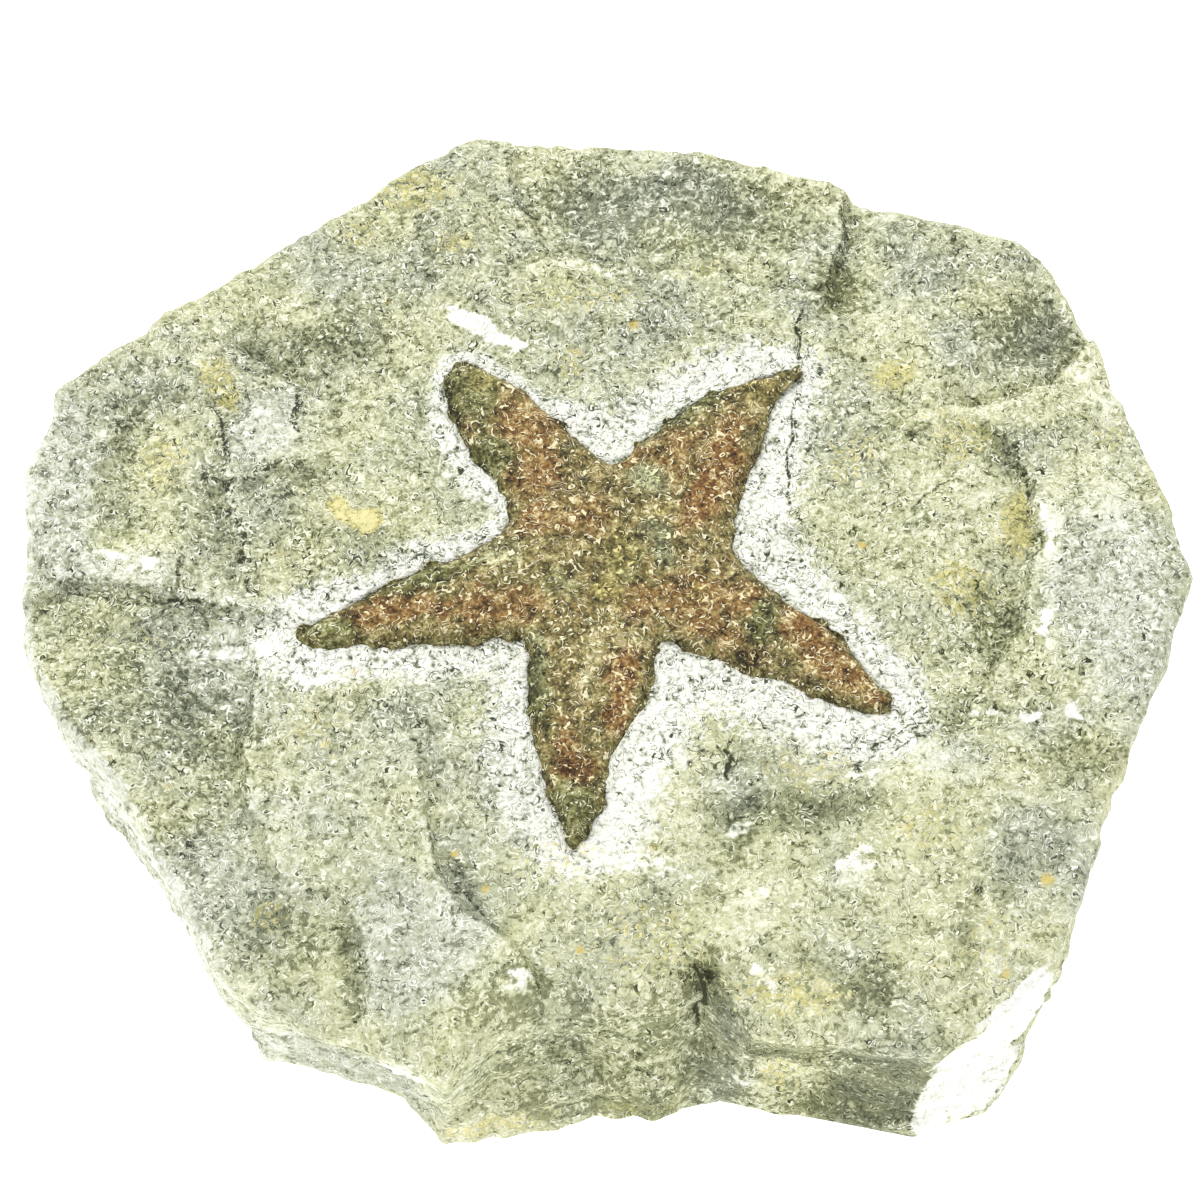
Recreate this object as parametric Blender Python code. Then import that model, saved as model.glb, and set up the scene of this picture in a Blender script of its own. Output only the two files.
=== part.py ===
"""Fossil starfish in a loose slab of fine sandstone, lying face up.

Two solids: matrix_slab, the trimmed piece of stone, and starfish, the mineral crust that is left
of the animal, seated in a shallow bed in the slab's upper face. Shapes are worked out in
millimetres, and become metres when a mesh is made. The origin is under the middle of the slab,
+Z is up, and +Y runs to the side that lies behind the starfish.
"""

import math

import bmesh
import bpy
import numpy as np

MM = 0.001

# Slab.
THICKNESS = 18.0  # underside to the bedding plane round the starfish
FOOT_CHAMFER = 1.2  # broken edge round the flat underside
BROW = 0.9  # width of the worn edge between the upper face and the wall
SLAB_SEGMENTS = 320
SLAB_TOP_RINGS = 74
SLAB_WALL_ROWS = 16
SLAB_DETAIL = 0.092  # share of the faces that stay where the stone is nearly flat

# Starfish and its bed.
FOSSIL_CENTRE = (0.7, 0.9)
FOSSIL_DEPTH = 1.7  # of its underside below the bedding plane
FOSSIL_EDGE = 0.05  # height of its margin above the bedding plane
FOSSIL_CROWN = 0.75  # rise from the margin to the middle of an arm
GAP = 0.3  # clearance between the crust and the stone
TRENCH_WIDTH = 3.2  # of the tooled band round the starfish
TRENCH_DEPTH = 0.4
SAMPLES_PER_SPAN = 2
OSSICLE_SPACING = 1.7
OSSICLE_HEIGHT = 0.16
ARM_TIPS = ((22.1, -11.7), (15.7, 18.8), (-12.0, 19.3), (-23.8, -6.1), (-2.3, -24.2))

# Plan of the upper rim, anticlockwise from the right-hand corner.
RIM = (
    (47.0, -0.6), (45.8, 5.0), (44.3, 10.2), (42.6, 14.8), (41.1, 19.5), (40.0, 23.2),
    (38.8, 26.6), (36.6, 30.2), (33.4, 32.5), (28.8, 34.3), (24.6, 35.9), (19.7, 38.1),
    (13.8, 40.5), (8.0, 41.8), (3.5, 42.5), (-2.0, 42.9), (-6.5, 43.5), (-10.2, 44.2),
    (-12.4, 43.4), (-18.7, 38.3), (-25.6, 32.1), (-32.8, 26.8), (-36.4, 24.8), (-37.4, 22.4),
    (-41.6, 19.1), (-44.5, 16.8), (-45.0, 12.2), (-46.5, 9.0), (-46.6, 6.2), (-45.8, 4.3),
    (-46.0, -0.5), (-46.0, -5.8), (-41.9, -13.7), (-38.2, -18.8), (-35.6, -22.9),
    (-32.3, -28.8), (-29.6, -33.9), (-27.0, -36.9), (-18.4, -40.2), (-11.9, -43.5),
    (-8.4, -39.9), (-4.2, -38.6), (2.6, -37.6), (6.0, -36.6), (7.3, -35.6), (8.8, -37.6),
    (11.2, -39.9), (17.6, -40.6), (22.4, -41.4), (25.2, -42.0), (27.3, -40.4), (30.6, -37.6),
    (34.0, -34.6), (36.6, -28.2), (38.4, -21.8), (40.2, -17.6), (42.4, -12.6), (44.0, -8.3),
)

# Plan of the lower edge, in the same order.
FOOT = (
    (45.0, -1.0), (43.4, 8.0), (40.2, 18.6), (36.8, 26.4), (33.0, 30.2), (25.0, 33.4),
    (18.6, 36.6), (8.0, 40.2), (-6.0, 41.8), (-10.4, 41.6), (-20.0, 35.2), (-31.0, 26.2),
    (-36.0, 22.2), (-43.2, 15.6), (-45.0, 8.2), (-44.8, -3.8), (-41.3, -12.0), (-36.7, -19.2),
    (-32.8, -25.8), (-29.2, -31.4), (-26.4, -35.0), (-21.0, -36.2), (-15.9, -38.4),
    (-12.6, -42.3), (-6.8, -41.2), (-0.3, -39.8), (4.0, -39.8), (9.4, -38.7), (13.4, -39.4),
    (19.8, -40.6), (24.8, -41.6), (29.8, -39.4), (33.4, -34.2), (35.4, -28.2), (38.0, -18.0),
    (42.0, -9.6),
)

# Broken steps in the upper face: (drop, how far the low side takes to come back up, line). The
# low side is on the right of the line, walked from its first point, and each end tapers out.
LEDGES = (
    (1.9, 17.0, ((-56.0, -1.0), (-45.3, -2.6), (-41.9, -0.9), (-38.7, -0.9), (-34.8, -1.9),
                 (-30.4, -2.8), (-26.7, -3.3), (-22.5, -5.0))),
    (0.7, 10.0, ((-26.0, -4.5), (-26.9, -8.0), (-27.5, -12.0), (-27.7, -15.2),
                 (-26.8, -20.4), (-24.8, -24.6), (-22.8, -29.0))),
    (1.3, 13.0, ((-2.6, -48.0), (-4.4, -38.3), (-5.4, -35.0), (-9.0, -31.3), (-12.1, -27.2),
                 (-13.1, -22.9), (-14.4, -17.0))),
    (0.7, 6.0, ((-20.0, -26.5), (-18.8, -30.1), (-18.0, -33.0), (-17.5, -35.8),
                (-17.4, -39.0), (-17.2, -47.0))),
    (1.0, 12.0, ((20.5, 25.0), (16.1, 27.0), (8.0, 28.7), (3.0, 29.3), (-1.1, 30.2),
                 (-4.8, 30.3), (-9.0, 27.8))),
    (0.6, 7.0, ((-3.6, 31.0), (-5.2, 32.7), (-7.5, 35.5), (-7.9, 40.6), (-8.2, 49.0))),
    (1.5, 7.0, ((15.9, 23.0), (16.6, 25.3), (18.4, 26.8), (19.6, 31.0), (20.1, 36.5),
                (20.4, 46.0))),
    (1.4, 10.0, ((46.0, 26.0), (39.8, 21.9), (38.0, 19.3), (35.5, 17.6), (32.0, 15.9),
                 (29.6, 15.3), (26.5, 16.2))),
    (1.2, 9.0, ((29.0, 16.6), (31.6, 12.8), (34.3, 9.0), (34.6, 6.6), (35.1, 3.6),
                (34.2, 0.9), (33.3, -2.0), (32.7, -5.3), (31.2, -8.2), (29.0, -12.5))),
    (0.7, 9.0, ((-29.4, 19.0), (-28.4, 15.6), (-30.0, 13.3), (-30.0, 8.1), (-29.2, 4.0),
                (-28.5, -0.4), (-27.0, -3.0))),
    (0.9, 6.0, ((-33.0, 8.6), (-30.0, 8.1), (-27.2, 8.6), (-25.0, 9.6), (-22.8, 10.2),
                (-20.0, 9.4))),
    (0.9, 5.0, ((-21.5, 14.0), (-22.4, 16.6), (-24.6, 17.6), (-27.8, 20.2), (-31.0, 21.6))),
    (0.7, 5.0, ((-37.0, 2.0), (-40.2, 5.0), (-40.4, 9.0), (-39.6, 13.5), (-36.0, 16.5))),
)

# Rounded rises and hollows: (height, x, y, half width across, half width along, turn in degrees).
LUMPS = (
    (0.9, -43.0, 10.0, 3.6, 8.0, 8.0),
    (0.6, -37.5, 0.8, 5.5, 1.6, -4.0),
    (-0.9, -26.0, 20.5, 3.6, 2.4, -35.0),
    (-0.5, -37.4, 10.8, 2.4, 4.6, 0.0),
    (0.6, -7.4, -35.6, 3.0, 2.6, 0.0),
    (-1.3, 22.4, 28.6, 2.6, 3.6, -30.0),
    (0.5, 38.5, 6.0, 4.0, 9.0, 0.0),
    (0.5, 31.4, 4.0, 2.6, 2.0, 40.0),
    (-0.7, 31.5, -4.6, 2.0, 4.0, 10.0),
    (-2.2, 7.6, -38.4, 2.4, 4.0, 0.0),
    (-0.7, 9.8, -22.6, 2.2, 3.0, 20.0),
    (-0.6, 17.0, -31.0, 4.5, 3.0, -25.0),
    (0.5, 13.0, -33.0, 3.5, 2.5, 0.0),
    (-0.4, -18.0, -12.0, 9.0, 7.0, 20.0),
    (0.4, 24.0, 12.0, 6.0, 6.0, 0.0),
    (-0.8, -2.0, -40.5, 7.0, 3.0, 0.0),
)

# Open cracks in the upper face: (depth, half width, line).
CRACKS = (
    (1.8, 0.8, ((15.9, 16.4), (16.2, 18.6), (15.6, 22.6), (16.5, 25.3), (18.4, 26.8),
                 (19.6, 31.0), (20.1, 36.5), (20.4, 46.0))),
    (2.4, 0.8, ((8.1, -33.6), (8.0, -36.2), (7.2, -40.7), (7.0, -46.0))),
    (0.8, 0.45, ((-24.2, 17.0), (-24.4, 14.2), (-24.0, 11.2))),
    (0.7, 0.45, ((10.0, -14.2), (9.8, -19.0))),
)

# Bedding joints that show as grooves in the wall: (height, depth, half width).
BEDDING = ((3.6, 0.7, 0.8), (7.4, 0.45, 0.7), (10.6, 0.25, 0.6), (13.4, 0.3, 0.7))

# Starfish margin, anticlockwise from the pit between the right-hand and upper right arms.
MARGIN = (
    (10.5, 1.8), (10.9, 5.9), (11.3, 8.7), (12.6, 11.4), (13.4, 13.9), (14.2, 16.6),
    (15.8, 18.9), (12.7, 18.2), (8.2, 16.5), (4.6, 13.4), (2.3, 11.2),
    (0.6, 10.1), (-3.4, 13.7), (-5.9, 16.6), (-8.7, 18.5), (-10.9, 19.5),
    (-12.3, 19.0), (-12.6, 16.4), (-11.9, 13.7), (-10.5, 10.7), (-8.5, 8.0), (-7.6, 6.1),
    (-7.5, 4.3), (-11.0, 1.6), (-14.2, 0.1), (-18.0, -1.8), (-20.2, -3.2), (-22.2, -4.4),
    (-23.9, -6.1), (-22.6, -7.1), (-19.8, -6.9), (-15.6, -6.6), (-9.9, -6.2), (-7.4, -5.9),
    (-6.0, -6.4), (-5.9, -10.5), (-5.4, -14.5), (-4.7, -17.6), (-3.6, -21.1),
    (-2.3, -24.2), (-0.3, -21.5), (0.1, -19.1), (0.8, -16.5), (2.2, -13.8), (3.6, -10.6),
    (4.5, -6.3), (7.6, -7.7), (9.9, -8.6), (12.2, -9.6), (14.9, -10.6), (18.3, -12.0),
    (20.6, -12.6), (22.3, -11.8), (20.0, -8.1), (17.7, -5.2), (14.7, -2.9), (12.6, -0.9),
)

TAPER = 4.0  # length over which a ledge or a crack dies away at its ends
SCARP = 1.3  # plan width of a ledge's broken face


def smooth(t):
    """0 below 0 and 1 above 1, with an even S between them."""
    t = np.clip(t, 0.0, 1.0)
    return t * t * (3.0 - 2.0 * t)


def value_noise(u, v, seed):
    """Smooth random heights from -1 to 1, one to each unit cell of u and v."""
    table = np.random.default_rng(seed).uniform(-1.0, 1.0, (61, 61))
    cell_u = np.floor(u).astype(int)
    cell_v = np.floor(v).astype(int)
    a = smooth(u - cell_u)
    b = smooth(v - cell_v)
    near = table[cell_u % 61, cell_v % 61] * (1.0 - a) + table[(cell_u + 1) % 61, cell_v % 61] * a
    far = (table[cell_u % 61, (cell_v + 1) % 61] * (1.0 - a)
           + table[(cell_u + 1) % 61, (cell_v + 1) % 61] * a)
    return near * (1.0 - b) + far * b


def radius_of(outline, angle):
    """Distance from the origin to a closed outline in each direction."""
    points = np.array(outline)
    order = np.argsort(np.arctan2(points[:, 1], points[:, 0]) % math.tau)
    points = points[order]
    bearing = np.arctan2(points[:, 1], points[:, 0]) % math.tau
    after = np.searchsorted(bearing, angle % math.tau) % len(points)
    p = points[after - 1]
    q = points[after]
    side = q - p
    return ((p[:, 0] * side[:, 1] - p[:, 1] * side[:, 0])
            / (np.cos(angle) * side[:, 1] - np.sin(angle) * side[:, 0]))


def beside(x, y, line):
    """Distance to a broken line, its side (+1 on the right), and how far along from either end."""
    distance = np.full(x.shape, 1.0e6)
    side = np.zeros(x.shape)
    run = np.zeros(x.shape)
    walked = 0.0
    for (ax, ay), (bx, by) in zip(line, line[1:]):
        length = math.hypot(bx - ax, by - ay)
        ux, uy = (bx - ax) / length, (by - ay) / length
        along = np.clip((x - ax) * ux + (y - ay) * uy, 0.0, length)
        off_x = x - ax - along * ux
        off_y = y - ay - along * uy
        here = np.hypot(off_x, off_y)
        nearer = here < distance
        distance = np.where(nearer, here, distance)
        side = np.where(nearer, np.where(uy * off_x - ux * off_y > 0.0, 1.0, -1.0), side)
        run = np.where(nearer, walked + along, run)
        walked += length
    return distance, side, np.minimum(run, walked - run)


def ledges(x, y):
    """Drop of every broken step: sudden at its line, then coming back up over its reach."""
    total = np.zeros(x.shape)
    for drop, reach, line in LEDGES:
        distance, side, run = beside(x, y, line)
        low = np.where(side > 0.0, smooth(distance / SCARP) * (1.0 - smooth(distance / reach)), 0.0)
        total -= drop * low * smooth(run / TAPER)
    return total


def lumps(x, y):
    """Bell-shaped rises and hollows."""
    total = np.zeros(x.shape)
    for height, cx, cy, across, along, turn in LUMPS:
        c, s = math.cos(math.radians(turn)), math.sin(math.radians(turn))
        u = ((x - cx) * c + (y - cy) * s) / across
        v = ((y - cy) * c - (x - cx) * s) / along
        total += height * np.exp(-u * u - v * v)
    return total


def cracks(x, y):
    """Narrow V-shaped openings."""
    total = np.zeros(x.shape)
    for depth, half_width, line in CRACKS:
        distance, _, run = beside(x, y, line)
        total -= depth * (1.0 - smooth(distance / half_width)) * smooth(run / TAPER)
    return total


def margin_outline():
    """The starfish margin as a closed Catmull-Rom curve through its points."""
    p1 = np.array(MARGIN)
    p0, p2, p3 = np.roll(p1, 1, 0), np.roll(p1, -1, 0), np.roll(p1, -2, 0)
    spans = []
    for step in range(SAMPLES_PER_SPAN):
        t = step / SAMPLES_PER_SPAN
        spans.append(0.5 * (2.0 * p1 + (p2 - p0) * t + (2.0 * p0 - 5.0 * p1 + 4.0 * p2 - p3) * t**2
                            + (3.0 * p1 - p0 - 3.0 * p2 + p3) * t**3))
    return np.stack(spans, 1).reshape(-1, 2)


def grown(outline, distance):
    """A closed anticlockwise outline moved outwards along its own normals."""
    tangent = np.roll(outline, -1, 0) - np.roll(outline, 1, 0)
    normal = np.stack([tangent[:, 1], -tangent[:, 0]], 1)
    return outline + distance * normal / np.linalg.norm(normal, axis=1, keepdims=True)


def margin_distance(x, y):
    """Distance to the starfish margin, on either side of it."""
    outline = margin_outline()
    return beside(x, y, [tuple(point) for point in np.vstack([outline, outline[:1]])])[0]


def upper_face(x, y):
    """Height of the stone's upper face."""
    tilt = -0.022 * np.clip(y - 24.0, 0.0, None) ** 1.45
    tooled = -TRENCH_DEPTH * (1.0 - smooth((margin_distance(x, y) - 1.2) / TRENCH_WIDTH))
    grain = 0.32 * value_noise(x / 7.0 + 20.0, y / 7.0 + 20.0, 3)
    grain += 0.22 * value_noise(x / 2.6 + 30.0, y / 2.6 + 30.0, 4)
    return THICKNESS + tilt + ledges(x, y) + lumps(x, y) + cracks(x, y) + tooled + grain


def wall_radius(angle, height, top):
    """Radius of the wall: from the foot's plan to the rim's, hollowed under the brow, with
    grooves along the bedding and rough breaks between them."""
    share = smooth(height / top)
    radius = radius_of(FOOT, angle) * (1.0 - share) + radius_of(RIM, angle) * share
    overhang = np.exp(-((np.degrees(angle) % 360.0 - 294.0) / 9.0) ** 2)
    radius -= 1.5 * overhang * np.sin(math.pi * np.clip(height / top, 0.0, 1.0))
    for level, depth, half_width in BEDDING:
        wander = level + 0.8 * value_noise(angle * 3.0, angle * 0.0 + level, 7)
        radius -= depth * np.exp(-((height - wander) / half_width) ** 2)
    fade = np.sin(math.pi * np.clip(height / top, 0.0, 1.0))
    return radius + 0.7 * fade * value_noise(angle * 16.0, height / 2.4 + 9.0, 5)


def slab_rings():
    """Rings of points up the slab: underside, foot, wall, worn brow, then in to the middle."""
    angle = np.linspace(0.0, math.tau, SLAB_SEGMENTS, endpoint=False)
    across = np.stack([np.cos(angle), np.sin(angle)], 1)
    rim = radius_of(RIM, angle)[:, None] * across
    rim_height = upper_face(rim[:, 0], rim[:, 1]) - BROW
    foot = radius_of(FOOT, angle)
    rings = [np.column_stack([(foot - FOOT_CHAMFER)[:, None] * across, np.zeros(SLAB_SEGMENTS)])]
    for row in range(SLAB_WALL_ROWS + 1):
        height = FOOT_CHAMFER + (rim_height - FOOT_CHAMFER) * row / SLAB_WALL_ROWS
        radius = wall_radius(angle, height, rim_height)
        rings.append(np.column_stack([radius[:, None] * across, height]))
    inner = (np.linalg.norm(rim, axis=1) - BROW)[:, None] * across
    for turn in (0.35, 0.7):
        lean = math.radians(90.0 * turn)
        ring = inner + (rim - inner) * math.cos(lean)
        height = upper_face(ring[:, 0], ring[:, 1]) - BROW * (1.0 - math.sin(lean))
        rings.append(np.column_stack([ring, height]))
    for step in range(SLAB_TOP_RINGS):
        ring = inner * (1.0 - step / SLAB_TOP_RINGS)
        rings.append(np.column_stack([ring, upper_face(ring[:, 0], ring[:, 1])]))
    return rings


def arm_axes(x, y):
    """How far out along the nearest arm, and how far to the side of its middle line."""
    cx, cy = FOSSIL_CENTRE
    out = np.full(x.shape, -1.0e6)
    side = np.zeros(x.shape)
    for tip_x, tip_y in ARM_TIPS:
        reach = math.hypot(tip_x - cx, tip_y - cy)
        ux, uy = (tip_x - cx) / reach, (tip_y - cy) / reach
        here = (x - cx) * ux + (y - cy) * uy
        nearer = here > out
        out = np.where(nearer, here, out)
        side = np.where(nearer, (y - cy) * ux - (x - cx) * uy, side)
    return out, side


def fossil_top(x, y):
    """Height of the crust: crowned arms with two rows of small plates beside a middle furrow."""
    inwards = margin_distance(x, y)
    crown = FOSSIL_CROWN * (1.0 - np.exp(-inwards / 1.1))
    out, side = arm_axes(x, y)
    rows = np.exp(-((np.abs(side) - 1.5) / 0.8) ** 2)
    plates = OSSICLE_HEIGHT * rows * np.cos(math.tau * out / OSSICLE_SPACING)
    furrow = -0.22 * np.exp(-((side / 0.7) ** 2)) * smooth((out - 3.0) / 3.0)
    grain = 0.16 * value_noise(x / 1.9 + 30.0, y / 1.9 + 30.0, 6)
    inside = smooth(inwards / 0.9)
    return THICKNESS + FOSSIL_EDGE + crown + (plates + furrow + grain) * inside


def fossil_rings():
    """Rings of points up the starfish: its flat underside, its edge, then in to the centre."""
    centre = np.array(FOSSIL_CENTRE)
    margin = margin_outline()
    under = THICKNESS - FOSSIL_DEPTH
    level = np.ones(len(margin))
    rings = [
        np.column_stack([grown(margin, -0.25), under * level]),
        np.column_stack([margin, (under + 0.3) * level]),
        np.column_stack([margin, (THICKNESS + FOSSIL_EDGE) * level]),
    ]
    for share in (0.965, 0.92, 0.865, 0.8, 0.73, 0.66, 0.58, 0.5, 0.42, 0.33, 0.24, 0.15, 0.07):
        ring = centre + (margin - centre) * share
        rings.append(np.column_stack([ring, fossil_top(ring[:, 0], ring[:, 1])]))
    return rings


def bed_rings():
    """Rings of the cutter for the starfish's bed, from its floor to above the stone."""
    outline = grown(margin_outline(), GAP)
    level = np.ones(len(outline))
    floor = THICKNESS - FOSSIL_DEPTH - GAP
    return [np.column_stack([outline, floor * level]), np.column_stack([outline, (floor + 8.0) * level])]


def loft(name, rings, collection):
    """A closed body through rings of equal point counts, with flat faces over its first and last."""
    mesh = bpy.data.meshes.new(name)
    bm = bmesh.new()
    loops = [[bm.verts.new(point * MM) for point in ring] for ring in rings]
    bm.faces.new(loops[0][::-1])
    for lower, upper in zip(loops, loops[1:]):
        for i in range(len(lower)):
            bm.faces.new((lower[i - 1], lower[i], upper[i], upper[i - 1]))
    bm.faces.new(loops[-1])
    bmesh.ops.triangulate(bm, faces=bm.faces[:])
    bmesh.ops.recalc_face_normals(bm, faces=bm.faces[:])
    bm.to_mesh(mesh)
    bm.free()
    obj = bpy.data.objects.new(name, mesh)
    collection.objects.link(obj)
    return obj


def material(name, colour, roughness):
    """A plain stone-like Principled material."""
    made = bpy.data.materials.new(name)
    made.use_nodes = True
    shader = made.node_tree.nodes["Principled BSDF"]
    shader.inputs["Base Color"].default_value = (*colour, 1.0)
    shader.inputs["Roughness"].default_value = roughness
    shader.inputs["Metallic"].default_value = 0.0
    return made


def make_cutter(collection):
    """The body that cuts the starfish's bed."""
    cutter = loft("bed_cutter", bed_rings(), collection)
    cutter.hide_render = True
    cutter.display_type = "WIRE"
    return cutter


def make_slab(collection, cutter):
    """The stone, thinned to few faces where it is flat, with the starfish's bed cut in it."""
    slab = loft("matrix_slab", slab_rings(), collection)
    slab.data.materials.append(material("greenish_grey_sandstone", (0.56, 0.58, 0.43), 0.9))
    thin = slab.modifiers.new("fewer_faces", "DECIMATE")
    thin.ratio = SLAB_DETAIL
    bed = slab.modifiers.new("bed", "BOOLEAN")
    bed.operation = "DIFFERENCE"
    bed.solver = "EXACT"
    bed.object = cutter
    return slab


def make_starfish(collection):
    """The fossil crust."""
    starfish = loft("starfish", fossil_rings(), collection)
    starfish.data.materials.append(material("iron_stained_crust", (0.27, 0.17, 0.08), 0.8))
    return starfish


def main():
    for obj in list(bpy.data.objects):
        bpy.data.objects.remove(obj, do_unlink=True)
    parts = bpy.data.collections.new("fossil_starfish")
    cutters = bpy.data.collections.new("cutters")
    bpy.context.scene.collection.children.link(parts)
    bpy.context.scene.collection.children.link(cutters)
    cutters.hide_render = True
    make_slab(parts, make_cutter(cutters))
    make_starfish(parts)


main()
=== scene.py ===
"""Finished surfaces, materials and stage for a fossil starfish in a sandstone slab.

Shapes are worked out in millimetres as whole numpy arrays and become metres when a mesh is made.
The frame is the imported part's own: origin under the middle of the slab, +Z up.
"""

import math

import bpy
import numpy as np
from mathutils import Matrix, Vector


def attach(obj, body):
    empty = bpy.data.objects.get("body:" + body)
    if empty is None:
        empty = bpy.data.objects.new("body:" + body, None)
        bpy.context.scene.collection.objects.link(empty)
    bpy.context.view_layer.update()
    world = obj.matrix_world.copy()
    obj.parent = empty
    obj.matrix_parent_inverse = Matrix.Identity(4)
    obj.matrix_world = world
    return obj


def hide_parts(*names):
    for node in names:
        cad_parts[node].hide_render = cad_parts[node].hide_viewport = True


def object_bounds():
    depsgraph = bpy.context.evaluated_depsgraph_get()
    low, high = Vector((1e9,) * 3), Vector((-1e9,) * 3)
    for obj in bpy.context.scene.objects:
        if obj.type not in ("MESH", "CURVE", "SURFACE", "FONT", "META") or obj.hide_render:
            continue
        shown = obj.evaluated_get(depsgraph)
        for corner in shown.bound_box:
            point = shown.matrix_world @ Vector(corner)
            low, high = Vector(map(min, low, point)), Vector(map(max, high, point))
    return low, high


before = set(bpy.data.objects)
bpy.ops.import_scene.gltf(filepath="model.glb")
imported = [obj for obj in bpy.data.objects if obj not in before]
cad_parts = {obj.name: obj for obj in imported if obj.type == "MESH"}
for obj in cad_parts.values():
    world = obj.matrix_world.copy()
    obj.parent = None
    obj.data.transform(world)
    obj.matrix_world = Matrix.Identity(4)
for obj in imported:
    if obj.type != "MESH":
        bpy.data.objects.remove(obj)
CAD_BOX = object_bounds()

bl_info = {
    "name": "Fossil starfish in sandstone",
    "version": (1, 0, 0),
    "blender": (4, 5, 0),
    "location": "View3D > Sidebar > Fossil",
    "description": "Builds a weathered sandstone slab, the starfish crust in it and a plain stage",
    "category": "Object",
}

MM = 0.001
PER_MM = 1000.0
FAR = 1.0e6  # further than anything on the slab

# The stage, in metres: half the table's side, the key light and the point the camera looks at.
TABLE_HALF = 1.5
KEY_SIZE = 0.35
KEY_DISTANCE = 0.6
CAMERA_AIM = (-0.00022, -0.00276, 0.018)
SENSOR_WIDTH = 36.0  # millimetres

# ---------------------------------------------------------------- shapes shared with the solids

THICKNESS = 18.0  # underside to the bedding plane round the starfish
FOOT_CHAMFER = 1.2
BROW = 0.9  # width of the worn edge between the upper face and the wall
FOSSIL_CENTRE = (0.7, 0.9)
FOSSIL_DEPTH = 1.7
FOSSIL_EDGE = 0.05
FOSSIL_CROWN = 0.75
GAP = 0.3
TRENCH_WIDTH = 3.2
TRENCH_DEPTH = 0.4
OSSICLE_SPACING = 1.7
OSSICLE_HEIGHT = 0.16
STARFISH_BOX = ((-27.0, 25.0), (-27.0, 23.0))  # a little more than the starfish takes up in plan
MARGIN_SAMPLES = 16  # points on each span of the crust's margin
BED_SAMPLES = 8  # points on each span of the bed's edge
BED_CLEARANCE = 0.01  # from the crust's margin to the bed's upper edge
BED_BATTER = 0.14  # how far the foot of the bed's wall stands in from its upper edge
BROW_LEANS = (63.0, 32.0)  # slopes of the two loops round the brow, in degrees
UNDERSIDE_ROWS = 7
ARM_TIPS = ((22.1, -11.7), (15.7, 18.8), (-12.0, 19.3), (-23.8, -6.1), (-2.3, -24.2))
TAPER = 4.0  # length over which a step or crack fades in at either end
SCARP = 0.6  # width of a broken step's riser

# Bearing of a stretch of the wall, and how far it reaches to either side, in degrees.
FRONT = (285.0, 28.0)
ROLLED_BROW = (268.0, 20.0)
OVERHANG = (294.0, 9.0)

# Plan of the upper rim, anticlockwise from the right-hand corner.
RIM = (
    (47.0, -0.6), (45.8, 5.0), (44.3, 10.2), (42.6, 14.8), (41.1, 19.5), (40.0, 23.2),
    (38.8, 26.6), (36.6, 30.2), (33.4, 32.5), (28.8, 34.3), (24.6, 35.9), (19.7, 38.1),
    (13.8, 40.5), (8.0, 41.8), (3.5, 42.5), (-2.0, 42.9), (-6.5, 43.5), (-10.2, 44.2),
    (-12.4, 43.4), (-18.7, 38.3), (-25.6, 32.1), (-32.8, 26.8), (-36.4, 24.8), (-37.4, 22.4),
    (-41.6, 19.1), (-44.5, 16.8), (-45.0, 12.2), (-46.5, 9.0), (-46.6, 6.2), (-45.8, 4.3),
    (-46.0, -0.5), (-46.0, -5.8), (-41.9, -13.7), (-38.2, -18.8), (-35.6, -22.9),
    (-32.3, -28.8), (-29.6, -33.9), (-27.0, -36.9), (-18.4, -40.2), (-11.9, -43.5),
    (-8.4, -39.9), (-4.2, -38.6), (2.6, -37.6), (6.0, -36.6), (7.3, -35.6), (8.8, -37.6),
    (11.2, -39.9), (17.6, -40.6), (22.4, -41.4), (25.2, -42.0), (27.3, -40.4), (30.6, -37.6),
    (34.0, -34.6), (36.6, -28.2), (38.4, -21.8), (40.2, -17.6), (42.4, -12.6), (44.0, -8.3),
)

# Plan of the lower edge, in the same order.
FOOT = (
    (45.0, -1.0), (43.4, 8.0), (40.2, 18.6), (36.8, 26.4), (33.0, 30.2), (25.0, 33.4),
    (18.6, 36.6), (8.0, 40.2), (-6.0, 41.8), (-10.4, 41.6), (-20.0, 35.2), (-31.0, 26.2),
    (-36.0, 22.2), (-43.2, 15.6), (-45.0, 8.2), (-44.8, -3.8), (-41.3, -12.0), (-36.7, -19.2),
    (-32.8, -25.8), (-29.2, -31.4), (-26.4, -35.0), (-21.0, -36.2), (-15.9, -38.4),
    (-12.6, -42.3), (-6.8, -41.2), (-0.3, -39.8), (4.0, -39.8), (9.4, -38.7), (13.4, -39.4),
    (19.8, -40.6), (24.8, -41.6), (29.8, -39.4), (33.4, -34.2), (35.4, -28.2), (38.0, -18.0),
    (42.0, -9.6),
)

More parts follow.
